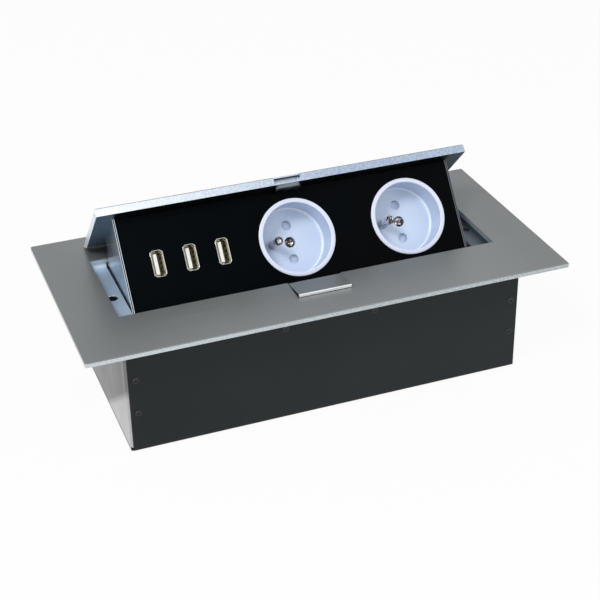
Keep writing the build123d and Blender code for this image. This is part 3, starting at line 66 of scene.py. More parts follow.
LID_FRONT = -27.4 * MM
LID_THICK = 4.6 * MM
NOTCH_SIZE = (15.0 * MM, 3.0 * MM, 0.9 * MM)
PANEL_SETBACK = 8.0 * MM
SOCKET_DROP = 27.4 * MM
SOCKET_X = {"left": 0.5 * MM, "right": 65.9 * MM}
USB_X = (-77.2 * MM, -59.35 * MM, -41.5 * MM)
LEDGE_TOP = TOP - 5.0 * MM
LEDGE_SCREW_X = 102.6 * MM
WALL_Y = 51.7 * MM
SHELL_SCREW_X = 105.7 * MM
BRACKET_SCREW_X = 25.0 * MM
BRACKET_SCREW_DROP = 12.4 * MM
SHELL_SCREW_DROPS = {-1: (24.2 * MM, 44.0 * MM), 1: (14.0 * MM, 44.0 * MM)}

# Depths and radii of the cuts in a socket's floor
CUT_START = 1 * MM
THROUGH_CUT = 5 * MM
SCREW_SINK = 2.3 * MM
SHANK_HOLE = 1.7 * MM

# Directions in the frame, and out of the panel's face
UPWARD = (0.0, 0.0, 1.0)
FORWARD = (0.0, -1.0, 0.0)
SIDEWAYS = (1.0, 0.0, 0.0)
PANEL_OUTWARD = (0.0, -cos(PANEL_LEAN), sin(PANEL_LEAN))

# Heights between which the frame's faces count as lying in the opening
SUNK_SPAN = (TOP - 3.2 * MM, TOP - 2.7 * MM)
# The part of a noise's values that its colours are spread over
NOISE_SPAN = (0.3, 0.7)
# How steeply the edge of the end plates' painted dark reflection slants from front to rear
ZINC_SLANT = 0.72

BLACK = (0.0, 0.0, 0.0)
# Painted light in the frame's opening: ledges lit at the left and shaded at the right, the rear lip a near
# white highlight, shaded at the right
LIT_LEDGE = (0.50, 0.62, 0.75)
SHADED_LEDGE = (0.075, 0.105, 0.12)
LIP_HIGHLIGHT = (0.92, 0.96, 1.0)
SHADED_LIP = (0.20, 0.24, 0.27)
# Painted shade on the tab's sides
TAB_SIDE_SHADE = (0.008, 0.009, 0.010)
# Painted shade on the lid: its far edge, its underside, and a lighter shade where the underside overhangs the
# panel
SHADED_FAR_LID_EDGE = (0.35, 0.42, 0.54)
UNDER_LID_SHADE = (0.010, 0.013, 0.016)
LID_MARGIN_SHADE = (0.14, 0.20, 0.25)
# Painted light in the socket cups: a highlight on the cove and on the rim's edges, shade on the wall
COVE_HIGHLIGHT = (0.86, 0.92, 1.0)
CUP_WALL_SHADE = (0.52, 0.61, 0.78)
RIM_EDGE_HIGHLIGHT = (0.95, 0.97, 1.0)
RIM_CROWN = (0.70, 0.75, 0.93)
POLISHED_CHEEK = (0.70, 0.78, 0.88)
DARK_CHEEK = (0.36, 0.42, 0.50)
PALE_CHEEK = (0.52, 0.59, 0.68)
# Front flanges of the cheeks: a dark line, also used as the painted shade of the right flange, and a painted
# highlight
FLANGE_LINE_AND_SHADE = (0.010, 0.012, 0.014)
FLANGE_HIGHLIGHT = (0.62, 0.68, 0.74)
# Painted dark reflection and glints on the earth pins' tips
PIN_TIP_REFLECTION = (0.05, 0.04, 0.045)
PIN_GLINT = (0.70, 0.68, 0.70)
# Screw heads' own dark colour, and their painted glints
SCREW_HEAD = (0.05, 0.04, 0.04)
SCREW_GLINT = (0.60, 0.55, 0.55)

# Points of a drawn piece that lie closer than this become one
MERGE_DISTANCE = 0.002 * MM

FLOOR_SIZE = 8.0
FLOOR_DROP = 0.5 * MM
# Share of the floor's own white where it is seen directly
FLOOR_GLOW = 0.94


class SocketSizes(bpy.types.PropertyGroup):
    """Sizes of the moulded socket faces."""

    rim_radius: bpy.props.FloatProperty(
        name="Rim radius", description="Outside of the rim on the panel", default=21.5 * MM, unit="LENGTH"
    )
    rim_proud: bpy.props.FloatProperty(
        name="Rim height", description="How far the rim stands out of the panel",
        default=1.0 * MM, unit="LENGTH",
    )
    cup_radius: bpy.props.FloatProperty(
        name="Cup radius", description="Inside of the round cup", default=19.2 * MM, unit="LENGTH"
    )
    cup_depth: bpy.props.FloatProperty(
        name="Cup depth", description="From the panel's face to the cup's floor",
        default=14.5 * MM, unit="LENGTH",
    )
    floor_thick: bpy.props.FloatProperty(
        name="Floor thickness", description="Wall at the bottom of the cup", default=2.2 * MM, unit="LENGTH"
    )
    cup_wall: bpy.props.FloatProperty(
        name="Cup wall", description="Wall round the cup", default=1.3 * MM, unit="LENGTH"
    )
    cove: bpy.props.FloatProperty(
        name="Cove", description="Radius between the cup's wall and floor", default=1.6 * MM, unit="LENGTH"
    )
    pin_spacing: bpy.props.FloatProperty(
        name="Pin spacing", description="Between the two pin holes", default=19.0 * MM, unit="LENGTH"
    )
    pin_hole: bpy.props.FloatProperty(
        name="Pin hole radius", description="Radius of each pin hole", default=2.7 * MM, unit="LENGTH"
    )
    earth_offset: bpy.props.FloatProperty(
        name="Earth offset", description="From the cup's middle to the earth pin",
        default=10.0 * MM, unit="LENGTH",
    )
    earth_radius: bpy.props.FloatProperty(
        name="Earth pin radius", description="Radius of the earth pin", default=2.4 * MM, unit="LENGTH"
    )
    screw_radius: bpy.props.FloatProperty(
        name="Screw head radius", description="Radius of the centre screw's head",
        default=2.8 * MM, unit="LENGTH",
    )


class PortSizes(bpy.types.PropertyGroup):
    """Sizes of the charging ports' shells."""

    width: bpy.props.FloatProperty(
        name="Shell width", description="Outside width of a port's shell", default=5.7 * MM, unit="LENGTH"
    )
    height: bpy.props.FloatProperty(
        name="Shell height", description="Outside height of a port's shell", default=13.1 * MM, unit="LENGTH"
    )
    flare: bpy.props.FloatProperty(
        name="Flare", description="How far the mouth turns out on each side", default=0.6 * MM, unit="LENGTH"
    )
    proud: bpy.props.FloatProperty(
        name="Proud", description="How far the mouth stands out of the panel", default=0.6 * MM, unit="LENGTH"
    )
    length: bpy.props.FloatProperty(
        name="Shell length", description="Depth of the shell behind the panel",
        default=14.0 * MM, unit="LENGTH",
    )
    wall: bpy.props.FloatProperty(
        name="Shell wall", description="Thickness of the shell's sheet", default=0.4 * MM, unit="LENGTH"
    )


class FinishColours(bpy.types.PropertyGroup):
    """Colours of the module's finishes."""

    plate: bpy.props.FloatVectorProperty(
        name="Plate", description="Brushed frame and lid", subtype="COLOR", size=3,
        default=(0.225, 0.240, 0.245),
    )
    # The finishes use this edge colour as a painted highlight, brighter than the plate's top
    plate_edge: bpy.props.FloatVectorProperty(
        name="Plate edge", description="Cut edges of the plate and lid", subtype="COLOR", size=3,
        default=(0.70, 0.76, 0.80),
    )
    shell: bpy.props.FloatVectorProperty(
        name="Box", description="Black coated box", subtype="COLOR", size=3, default=(0.0100, 0.0135, 0.0150)
    )
    panel: bpy.props.FloatVectorProperty(
        name="Panel", description="Gloss black panel", subtype="COLOR", size=3,
        default=(0.0012, 0.0020, 0.0028),
    )
    socket: bpy.props.FloatVectorProperty(
        name="Socket", description="White socket moulding", subtype="COLOR", size=3,
        default=(0.58, 0.68, 0.84),
    )
    bright: bpy.props.FloatVectorProperty(
        name="Bright steel", description="Zinc on the end plates", subtype="COLOR", size=3,
        default=(0.62, 0.60, 0.62),
    )
    nickel: bpy.props.FloatVectorProperty(
        name="Nickel", description="Plating of the earth pins", subtype="COLOR", size=3,
        default=(0.62, 0.61, 0.60),
    )


class StageSettings(bpy.types.PropertyGroup):
    """Camera, floor and lamps."""

    azimuth: bpy.props.FloatProperty(
        name="Azimuth", description="Turn of the camera round the object", default=radians(-20.2165),
        subtype="ANGLE", unit="ROTATION",
    )
    elevation: bpy.props.FloatProperty(
        name="Elevation", description="Height of the camera above the horizon", default=radians(30.158),
        subtype="ANGLE", unit="ROTATION",
    )
    roll: bpy.props.FloatProperty(
        name="Roll", description="Tilt of the picture",
        default=radians(-1.0793), subtype="ANGLE", unit="ROTATION",
    )
    lens: bpy.props.FloatProperty(
        name="Lens", description="Focal length in millimetres", default=86.105
    )
    camera_place: bpy.props.FloatVectorProperty(
        name="Camera place", description="Where the camera stands",
        subtype="TRANSLATION", unit="LENGTH", size=3,
        default=(-0.23597, -0.64663, 0.43876),
    )
    key_power: bpy.props.FloatProperty(
        name="Key lamp", description="Power of the lamp high up at the left", default=12.0, unit="POWER"
    )
    fill_power: bpy.props.FloatProperty(
        name="Fill lamp", description="Power of the lamp at the right", default=3.0, unit="POWER"
    )
    low_power: bpy.props.FloatProperty(
        name="Low lamp", description="Power of the low lamp at the left front", default=2.0, unit="POWER"
    )
    room_light: bpy.props.FloatProperty(
        name="Room light", description="Strength of the even light from all round", default=0.50
    )


def settings(name):
    """One of the module's groups of settings."""
    return getattr(bpy.context.scene, "power_module_" + name)


def panel_matrix(x):
    """Placement at the sockets' height on the panel, with Z out of the face and Y up the panel."""
    turn_cos = cos(OPEN_ANGLE)
    turn_sin = sin(OPEN_ANGLE)
    back = LID_FRONT + PANEL_SETBACK - PIVOT_Y
    up = TOP - LID_THICK - PIVOT_Z
    top_y = PIVOT_Y + back * turn_cos + up * turn_sin
    top_z = PIVOT_Z - back * turn_sin + up * turn_cos
    across = Vector((1, 0, 0))
    upward = Vector((0, sin(PANEL_LEAN), cos(PANEL_LEAN)))
    place = Matrix((across, upward, Vector(PANEL_OUTWARD))).transposed().to_4x4()
    place.translation = (x, top_y - SOCKET_DROP * sin(PANEL_LEAN), top_z - SOCKET_DROP * cos(PANEL_LEAN))
    return place


def deselect():
    """Leave nothing selected."""
    if bpy.context.object and bpy.context.object.mode != "OBJECT":
        bpy.ops.object.mode_set(mode="OBJECT")
    bpy.ops.object.select_all(action="DESELECT")


def pick(piece):
    """Make one piece the only selected and active one."""
    deselect()
    piece.select_set(True)
    bpy.context.view_layer.objects.active = piece


def name_piece(name):
    """Name the new active piece and its mesh."""
    piece = bpy.context.object
    piece.name = name
    piece.data.name = name
    return piece


def settle(piece, matrix):
    """Put a piece in its place, with its origin at the frame's."""
    pick(piece)
    piece.matrix_world = matrix @ piece.matrix_world
    bpy.ops.object.transform_apply(location=True, rotation=True, scale=True)
    return piece


def right_normals(piece):
    """Merge doubles and turn all faces outwards."""
    pick(piece)
    bpy.ops.object.mode_set(mode="EDIT")
    bpy.ops.mesh.select_all(action="SELECT")
    bpy.ops.mesh.remove_doubles(threshold=MERGE_DISTANCE)
    bpy.ops.mesh.normals_make_consistent(inside=False)
    bpy.ops.object.mode_set(mode="OBJECT")


def smooth(piece, angle=35.0):
    """Round shading that keeps edges sharper than an angle."""
    pick(piece)
    bpy.ops.object.shade_smooth_by_angle(angle=radians(angle))


def draw_rings(rings):
    """Extrude the selected loop through rings of half width, half height and level."""
    for before, after in zip(rings, rings[1:]):
        wide = after[0] / before[0]
        high = after[1] / before[1]
        rise = after[2] - before[2]
        bpy.ops.mesh.extrude_region_move(TRANSFORM_OT_translate={"value": (0, 0, rise)})
        bpy.ops.transform.resize(value=(wide, high, 1), center_override=(0, 0, 0))


def close_ends(piece):
    """Fill the open loops of a drawn piece."""
    pick(piece)
    bpy.ops.object.mode_set(mode="EDIT")
    bpy.ops.mesh.select_all(action="DESELECT")
    bpy.ops.mesh.select_mode(type="EDGE")
    bpy.ops.mesh.select_non_manifold()
    bpy.ops.mesh.edge_face_add()
    bpy.ops.object.mode_set(mode="OBJECT")
    right_normals(piece)


def lathe(name, profile, sides=96):
    """A round piece drawn from a profile of radius and level, closed at both ends."""
    deselect()
    start_radius, start_level = profile[0]
    bpy.ops.mesh.primitive_circle_add(vertices=sides, radius=start_radius, fill_type="NGON")
    piece = name_piece(name)
    bpy.ops.object.mode_set(mode="EDIT")
    bpy.ops.mesh.select_all(action="SELECT")
    bpy.ops.transform.translate(value=(0, 0, start_level))
    bpy.ops.mesh.select_mode(type="EDGE")
    draw_rings([(radius, radius, level) for radius, level in profile])
    bpy.ops.object.mode_set(mode="OBJECT")
    right_normals(piece)
    close_ends(piece)
    return piece


def quarter_arc(steps):
    """Cosine and sine of even steps from 0 to 90 degrees."""
    angles = [step / steps * pi / 2 for step in range(steps + 1)]
    return [(cos(angle), sin(angle)) for angle in angles]


def cut_away(piece, cutter):
    """Cut one piece out of another and remove the cutter."""
    pick(piece)
    cut = piece.modifiers.new("cut", "BOOLEAN")
    cut.operation = "DIFFERENCE"
    cut.solver = "EXACT"
    cut.object = cutter
    bpy.ops.object.modifier_apply(modifier=cut.name)
    pick(cutter)
    bpy.ops.object.delete()
    pick(piece)


def cut_cross(piece, size, level, turn):
    """Cut a cross slot into a screw's head."""
    for quarter in (0, pi / 2):
        deselect()
        bpy.ops.mesh.primitive_cube_add(size=1, location=(0, 0, level), rotation=(0, 0, quarter + turn))
        slot = name_piece("cutter")
        slot.scale = size
        cut_away(piece, slot)


def soften(piece, width, angle=40.0):
    """A small round on all the sharp edges of a piece."""
    pick(piece)
    round_edges = piece.modifiers.new("soften", "BEVEL")
    round_edges.width = width
    round_edges.segments = 2
    round_edges.limit_method = "ANGLE"
    round_edges.angle_limit = radians(angle)
    bpy.ops.object.modifier_apply(modifier=round_edges.name)


def start_finish(name, colour, metallic, roughness, specular=0.5):
    """A new material with its plain values on the shader's own sockets."""
    material = bpy.data.materials.new(name)
    material.use_nodes = True
    shader = material.node_tree.nodes["Principled BSDF"]
    shader.inputs["Base Color"].default_value = (*colour, 1.0)
    shader.inputs["Metallic"].default_value = metallic
    shader.inputs["Roughness"].default_value = roughness
    shader.inputs["Specular IOR Level"].default_value = specular
    return material


def add_node(material, kind, **inputs):
    """One shader node with some of its inputs set."""
    node = material.node_tree.nodes.new(kind)
    for name, value in inputs.items():
        node.inputs[name.replace("_", " ")].default_value = value
    return node


def wire(material, start, end):
    """Join two sockets."""
    material.node_tree.links.new(start, end)


def shader_input(material, name):
    """A socket of the material's main shader."""
    return material.node_tree.nodes["Principled BSDF"].inputs[name]


def grain(material, scale, stretch=(1.0, 1.0, 1.0), detail=4.0):
    """Noise that sits in the piece, drawn out by stretch."""
    coordinates = add_node(material, "ShaderNodeTexCoord")
    mapping = add_node(material, "ShaderNodeMapping", Scale=stretch)
    noise = add_node(material, "ShaderNodeTexNoise", Scale=scale, Detail=detail, Roughness=0.6)
    wire(material, coordinates.outputs["Object"], mapping.inputs["Vector"])
    wire(material, mapping.outputs["Vector"], noise.inputs["Vector"])
    return noise.outputs["Fac"]


def along(material, axis):
    """How far a point of the piece lies along one axis, in metres."""
    coordinates = add_node(material, "ShaderNodeTexCoord")
    split = add_node(material, "ShaderNodeSeparateXYZ")
    wire(material, coordinates.outputs["Object"], split.inputs["Vector"])
    return split.outputs[axis]


def turned_to(material, direction, output="Normal"):
    """How squarely a face looks in a direction, or how far a point lies that way."""
    coordinates = add_node(material, "ShaderNodeTexCoord")
    product = add_node(material, "ShaderNodeVectorMath")
    product.operation = "DOT_PRODUCT"
    product.inputs[1].default_value = direction
    wire(material, coordinates.outputs[output], product.inputs[0])
    return product.outputs["Value"]


def combine(material, operation, first, second):
    """One sum of a socket with another socket or a number."""
    sum_node = add_node(material, "ShaderNodeMath")
    sum_node.operation = operation
    wire(material, first, sum_node.inputs[0])
    if isinstance(second, bpy.types.NodeSocket):
        wire(material, second, sum_node.inputs[1])
    else:
        sum_node.inputs[1].default_value = second
    return sum_node.outputs["Value"]


def unsigned(material, value):
    """A value without its sign."""
    return combine(material, "ABSOLUTE", value, 0.0)


def panel_height(material):
    """How far a point of the piece stands out of the panel's face, in metres."""
    level = Vector(PANEL_OUTWARD).dot(panel_matrix(0.0).translation)
    return combine(material, "SUBTRACT", turned_to(material, PANEL_OUTWARD, "Object"), level)


def ramp(material, factor, low, high, start=0.0, end=1.0):
    """Turn a factor between low and high into values between start and end."""
    spread = add_node(material, "ShaderNodeMapRange")
    spread.inputs["From Min"].default_value = low
    spread.inputs["From Max"].default_value = high
    spread.inputs["To Min"].default_value = start
    spread.inputs["To Max"].default_value = end
    wire(material, factor, spread.inputs["Value"])
    return spread.outputs["Result"]


def mix(material, factor, first, second):
    """A colour between two, each a colour or a socket."""
    blend = add_node(material, "ShaderNodeMix")
    blend.data_type = "RGBA"
    wire(material, factor, blend.inputs["Factor"])
    for name, value in (("A", first), ("B", second)):
        socket = next(s for s in blend.inputs if s.name == name and s.type == "RGBA")
        if isinstance(value, bpy.types.NodeSocket):
            wire(material, value, socket)
        else:
            socket.default_value = (*value, 1.0)
    return next(s for s in blend.outputs if s.type == "RGBA")


def paint(material, colour):
    """Send a colour socket to the shader."""
    wire(material, colour, shader_input(material, "Base Color"))


def roughen(material, factor, low, high):
    """Let a factor move the roughness between two values."""
    wire(material, ramp(material, factor, *NOISE_SPAN, low, high), shader_input(material, "Roughness"))


def emboss(material, factor, strength, depth):
    """Fine relief from a factor."""
    bump = add_node(material, "ShaderNodeBump", Strength=strength, Distance=depth)
    wire(material, factor, bump.inputs["Height"])
    wire(material, bump.outputs["Normal"], shader_input(material, "Normal"))


def shade(colour, factor):
    """A colour made lighter or darker."""
    return tuple(min(1.0, channel * factor) for channel in colour)


def mottle(material, factor, colour, darker, lighter):
    """A colour that wanders between a darker and a lighter shade."""
    share = ramp(material, factor, *NOISE_SPAN)
    return mix(material, share, shade(colour, darker), shade(colour, lighter))


def brushed(material, colour):
    """Colour of satin aluminium with fine lines along its length, a little clouded."""
    lines = grain(material, scale=60.0, stretch=(0.35, 22.0, 22.0), detail=6.0)
    clouds = grain(material, scale=9.0, stretch=(1.0, 1.6, 1.0), detail=2.0)
    speckle = grain(material, scale=1100.0, detail=2.0)
    face = mottle(material, lines, colour, 0.94, 1.06)
    face = mix(material, ramp(material, clouds, 0.35, 0.65, end=0.25), face, shade(colour, 1.15))
    face = mix(material, ramp(material, speckle, 0.45, 0.7, end=0.3), face, shade(colour, 1.3))
    roughen(material, lines, 0.36, 0.48)
    emboss(material, lines, strength=0.08, depth=0.04 * MM)
    return face


def speckled(material, light, dark):
    """Colour of a sawn edge, with a fine sparkle and painted light that changes slowly along the length,
    lighter at the left and darker at the right.
    """
    speckle = grain(material, scale=800.0, detail=3.0)
    # Painted light: the edge darkens from left to right
    painted_light_slope = ramp(material, along(material, "X"), -105 * MM, 30 * MM)
    low = mix(material, painted_light_slope, shade(light, 0.93), shade(dark, 0.88))
    high = mix(material, painted_light_slope, shade(light, 1.07), shade(dark, 1.16))
    return mix(material, ramp(material, speckle, 0.4, 0.6), low, high)


def frame_finish(name, colour, edge):
    """Brushed frame with painted shade darker at its ends, edges painted bright as a highlight, ledges
    painted lit at the left and shaded at the right, and a rear lip painted as a near white highlight.
    """
    material = start_finish(name, colour, metallic=0.60, roughness=0.42)
    # Painted shade: the brushed face darkens towards the plate's ends
    ends = ramp(material, unsigned(material, along(material, "X")), 60 * MM, 120 * MM, end=0.20)
    face = mix(material, ends, brushed(material, colour), BLACK)
    # Painted highlight: faces that don't look up take the bright edge colour
    rim = speckled(material, shade(edge, 0.82), shade(edge, 0.66))
    finish = mix(material, ramp(material, turned_to(material, UPWARD), 0.2, 0.6), rim, face)
    # Painted light in the opening: lit ledges and a near white lip at the left, shaded ones at the right
    sunk = ramp(material, along(material, "Z"), *SUNK_SPAN, 1.0, 0.0)
    within = ramp(material, turned_to(material, FORWARD), 0.4, 0.8)
    side = ramp(material, along(material, "X"), -20 * MM, 20 * MM)
    ledge = mix(material, side, LIT_LEDGE, SHADED_LEDGE)
    lip = mix(material, side, LIP_HIGHLIGHT, SHADED_LIP)
    paint(material, mix(material, sunk, finish, mix(material, within, ledge, lip)))
    return material


def tab_finish(name, colour, edge):
    """The frame's finish on the tab, with a front edge painted as a near white highlight and sides painted
    black as shade.
    """
    material = start_finish(name, colour, metallic=0.60, roughness=0.42)
    face = brushed(material, colour)
    # Painted highlight on the front edge, painted shade on the sides
    front = ramp(material, turned_to(material, FORWARD), 0.4, 0.7)
    side = ramp(material, unsigned(material, turned_to(material, SIDEWAYS)), 0.5, 0.8)
    finish = mix(material, front, face, shade(edge, 1.4))
    paint(material, mix(material, side, finish, TAB_SIDE_SHADE))
    return material


def lid_finish(name, colour, edge):
    """Brushed lid with speckled edges painted bright as a highlight and darker at the far end as shade, and a
    blue-grey underside painted as shade, all leaning with the open lid.
    """
    material = start_finish(name, colour, metallic=0.75, roughness=0.36)
    face = brushed(material, colour)
    # Painted light: a bright edge at the left fading to painted shade at the far end
    rim = speckled(material, shade(edge, 1.12), SHADED_FAR_LID_EDGE)
    square = turned_to(material, (0.0, sin(OPEN_ANGLE), cos(OPEN_ANGLE)))
    finish = mix(material, ramp(material, unsigned(material, square), 0.2, 0.6), rim, face)
    # Painted shade under the lid, lighter beyond the panel's edge
    under = ramp(material, square, -0.9, -0.5, 1.0, 0.0)
    off_middle = unsigned(material, along(material, "X"))
    beside = ramp(material, off_middle, PANEL_EDGE, CHEEK_OUTSIDE)
    below = mix(material, beside, UNDER_LID_SHADE, LID_MARGIN_SHADE)
    paint(material, mix(material, under, finish, below))
    return material


def black_coat(name, colour):
    """Satin black powder coat with a fine grain."""
    material = start_finish(name, colour, metallic=0.0, roughness=0.45, specular=0.22)
    fine = grain(material, scale=1400.0, detail=2.0)
    broad = grain(material, scale=14.0, detail=3.0)
    paint(material, mottle(material, broad, colour, 0.85, 1.25))
    roughen(material, broad, 0.40, 0.52)
    emboss(material, fine, strength=0.12, depth=0.03 * MM)
    return material


def gloss_black(name, colour):
    """Deep gloss black moulding, with painted light making it a little lighter towards the ports."""
    material = start_finish(name, colour, metallic=0.0, roughness=0.10, specular=0.012)
    broad = grain(material, scale=22.0, detail=3.0)
    clouded = mottle(material, broad, colour, 0.7, 1.3)
    # Painted light: lighter towards the ports at the left
    painted_light_slope = ramp(material, along(material, "X"), -90 * MM, 0.0, 0.8, 0.0)
    paint(material, mix(material, painted_light_slope, clouded, shade(colour, 1.9)))
    roughen(material, broad, 0.07, 0.15)
    return material


def white_moulding(name, colour):
    """Glossy white thermoset of the sockets, with a painted highlight on the cove, painted shade on the wall
    and a painted highlight on the rim's edges.
    """
    material = start_finish(name, colour, metallic=0.0, roughness=0.22, specular=0.45)
    broad = grain(material, scale=40.0, detail=3.0)
    fine = grain(material, scale=900.0, detail=2.0)
    floor = mottle(material, broad, colour, 0.97, 1.03)
    sizes = settings("sockets")
    height = panel_height(material)
    bottom = -sizes.cup_depth
    # Painted highlight on the cove and painted shade on the wall
    cove = ramp(material, height, bottom + 0.05 * MM, bottom + 0.5 * MM)
    wall = ramp(material, height, bottom + 0.7 * MM, bottom + sizes.cove)
    inside = mix(material, wall, mix(material, cove, floor, COVE_HIGHLIGHT), CUP_WALL_SHADE)
    # Painted highlight on the rim's edges, with a bluish crown
    rim = ramp(material, height, 0.1 * MM, 0.4 * MM)
    crown = ramp(material, height, 0.80 * MM, 0.97 * MM)
    edge = mix(material, crown, RIM_EDGE_HIGHLIGHT, RIM_CROWN)
    paint(material, mix(material, rim, inside, edge))
    roughen(material, broad, 0.18, 0.28)
    emboss(material, fine, strength=0.04, depth=0.02 * MM)
    return material


def bright_zinc(name, colour):
    """Clouded zinc on folded steel, with a painted reflection, dark above a slanted line and bright below it,
    and a painted highlight half bright at the front corner.
    """
    material = start_finish(name, colour, metallic=0.20, roughness=0.30, specular=0.4)
    clouds = grain(material, scale=35.0, stretch=(1.0, 1.0, 0.5))
    lines = grain(material, scale=90.0, stretch=(20.0, 0.4, 20.0))
    # Painted reflection: dark above the slanted line, bright below it
    upper = mottle(material, clouds, colour, 0.09, 0.11)
    lower = mottle(material, clouds, colour, 0.70, 0.76)
    slant = combine(material, "MULTIPLY", along(material, "Y"), ZINC_SLANT)
    height = combine(material, "ADD", along(material, "Z"), slant)
    painted_reflection_share = ramp(material, height, -4 * MM, 1 * MM)
    # Painted highlight: half bright along the front corner's bend
    corner = ramp(material, along(material, "Y"), 3.5 * MM - WALL_Y, 1.5 * MM - WALL_Y, end=0.5)
    paint(material, mix(material, corner, mix(material, painted_reflection_share, lower, upper), lower))
    roughen(material, clouds, 0.22, 0.36)
    emboss(material, lines, strength=0.06, depth=0.03 * MM)
    return material


def polished_metal(name, colour, roughness):
    """Polished or plated metal with faint marks of wear."""
    material = start_finish(name, colour, metallic=1.0, roughness=roughness)
    marks = grain(material, scale=120.0, detail=5.0)
    paint(material, mottle(material, marks, colour, 0.88, 1.08))
    roughen(material, marks, roughness * 0.7, roughness * 1.5)
    return material


def cheek_finish(name):
    """Polished cheek: bright sides, and a front flange with a dark line between two painted highlights,
    painted dark as shade on the right cheek.
    """
    material = start_finish(name, POLISHED_CHEEK, metallic=0.85, roughness=0.22)
    clouds = grain(material, scale=30.0, detail=3.0)
    side = mix(material, ramp(material, clouds, *NOISE_SPAN), DARK_CHEEK, PALE_CHEEK)
    flange_middle = (PANEL_EDGE + CHEEK_OUTSIDE) / 2
    across = unsigned(material, along(material, "X"))
    off_line = unsigned(material, combine(material, "SUBTRACT", across, flange_middle))
    line = ramp(material, off_line, 0.20 * MM, 0.35 * MM)
    # Painted light: highlights on the left cheek's flange, painted shade over nearly all of the right one
    left = ramp(material, along(material, "X"), -10 * MM, 10 * MM, 1.0, 0.12)
    front = mix(material, combine(material, "MULTIPLY", line, left), FLANGE_LINE_AND_SHADE, FLANGE_HIGHLIGHT)
    square = ramp(material, turned_to(material, PANEL_OUTWARD), 0.5, 0.85)
    paint(material, mix(material, square, side, front))
    roughen(material, clouds, 0.16, 0.30)
    return material


def pin_finish(name, colour):
    """Plated pin with streaks down its sides and a domed tip painted as a dark reflection with painted
    glints.
    """
    material = start_finish(name, colour, metallic=0.70, roughness=0.10)
    streaks = grain(material, scale=500.0, stretch=(1.0, 0.35, 0.35), detail=3.0)
    shaft = mix(material, ramp(material, streaks, 0.42, 0.58), shade(colour, 0.55), shade(colour, 1.55))
    # Painted dark reflection with glints on the domed tip
    tip = ramp(material, panel_height(material), -2.6 * MM, -1.4 * MM)
    dome = mix(material, ramp(material, streaks, 0.50, 0.58), PIN_TIP_REFLECTION, PIN_GLINT)
    paint(material, mix(material, tip, shaft, dome))
    roughen(material, streaks, 0.06, 0.16)
    return material


def screw_finish(name):
    """Dark polished screw head with painted glints as bright specks."""
    material = start_finish(name, SCREW_HEAD, metallic=1.0, roughness=0.12)
    specks = grain(material, scale=700.0, detail=2.0)
    # Painted glints: bright specks on the dark head
    paint(material, mix(material, ramp(material, specks, 0.54, 0.62), SCREW_HEAD, SCREW_GLINT))
    roughen(material, specks, 0.08, 0.20)
    return material


def plain_moulding(name, colour, roughness):
    """Matt plastic or rubber with a fine grain."""
    material = start_finish(name, colour, metallic=0.0, roughness=roughness, specular=0.35)
    fine = grain(material, scale=700.0, detail=3.0)
    paint(material, mottle(material, fine, colour, 0.9, 1.1))
    roughen(material, fine, roughness * 0.9, min(1.0, roughness * 1.1))
    emboss(material, fine, strength=0.08, depth=0.03 * MM)
    return material


def wear(finish, *nodes):
    """Give CAD nodes a finish."""
    for node in nodes:
        slots = frame["nodes"][node].material_slots
        for slot in slots:
            slot.material = finish


def pair(name):
    """The left and right nodes of one name."""
    return name + "_left", name + "_right"


def add_piece(piece, finish, body, slot, *replaced):
    """Finish a new piece, let it ride on its body and stand for its CAD nodes."""
    piece.data.materials.clear()
    piece.data.materials.append(finish)
    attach(piece, body)
    if replaced:
        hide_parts(*replaced)


def socket_profile(sizes):
    """Radius and height round the socket face, from the back of the floor to the cup's middle."""
    outer = sizes.cup_radius + sizes.cup_wall
    back = -sizes.cup_depth - sizes.floor_thick
    rim = sizes.rim_radius
    proud = sizes.rim_proud
    inner = sizes.cup_radius
    floor = -sizes.cup_depth
    profile = [(outer - 0.4 * MM, back), (outer, back + 0.4 * MM), (outer, 0.0), (rim, 0.0)]
    edge = 0.5 * MM
    for across, up in quarter_arc(4):
        profile.append((rim - edge + edge * across, proud - edge + edge * up))
    lip = 0.45 * MM
    for across, up in quarter_arc(4):
        profile.append((inner + lip - lip * up, proud - lip + lip * across))
    for across, up in quarter_arc(6):
        profile.append((inner - sizes.cove + sizes.cove * across, floor + sizes.cove - sizes.cove * up))
    return profile


def round_cutter(radius, x, y, top, depth):
    """A round bar that cuts a hole down from a height."""
    deselect()
    middle = (x, y, top - depth / 2)
    bpy.ops.mesh.primitive_cylinder_add(vertices=48, radius=radius, depth=depth, location=middle)
    return name_piece("cutter")


def socket_face(side, sizes):
    """Moulded socket face with a rounded rim, a coved cup and its holes."""
    piece = lathe("socket_face_" + side, socket_profile(sizes))
    start = -sizes.cup_depth + CUT_START
    earth_hole = sizes.earth_radius + 0.05 * MM
    screw_hole = sizes.screw_radius + 0.25 * MM
    for sign in (-1, 1):
        cut_away(piece, round_cutter(sizes.pin_hole, 0, sign * sizes.pin_spacing / 2, start, THROUGH_CUT))
    cut_away(piece, round_cutter(earth_hole, -sizes.earth_offset, 0, start, THROUGH_CUT))
    cut_away(piece, round_cutter(screw_hole, 0, 0, start, SCREW_SINK))
    cut_away(piece, round_cutter(SHANK_HOLE, 0, 0, start, THROUGH_CUT))
    smooth(piece, angle=30.0)
    return settle(piece, panel_matrix(SOCKET_X[side]))


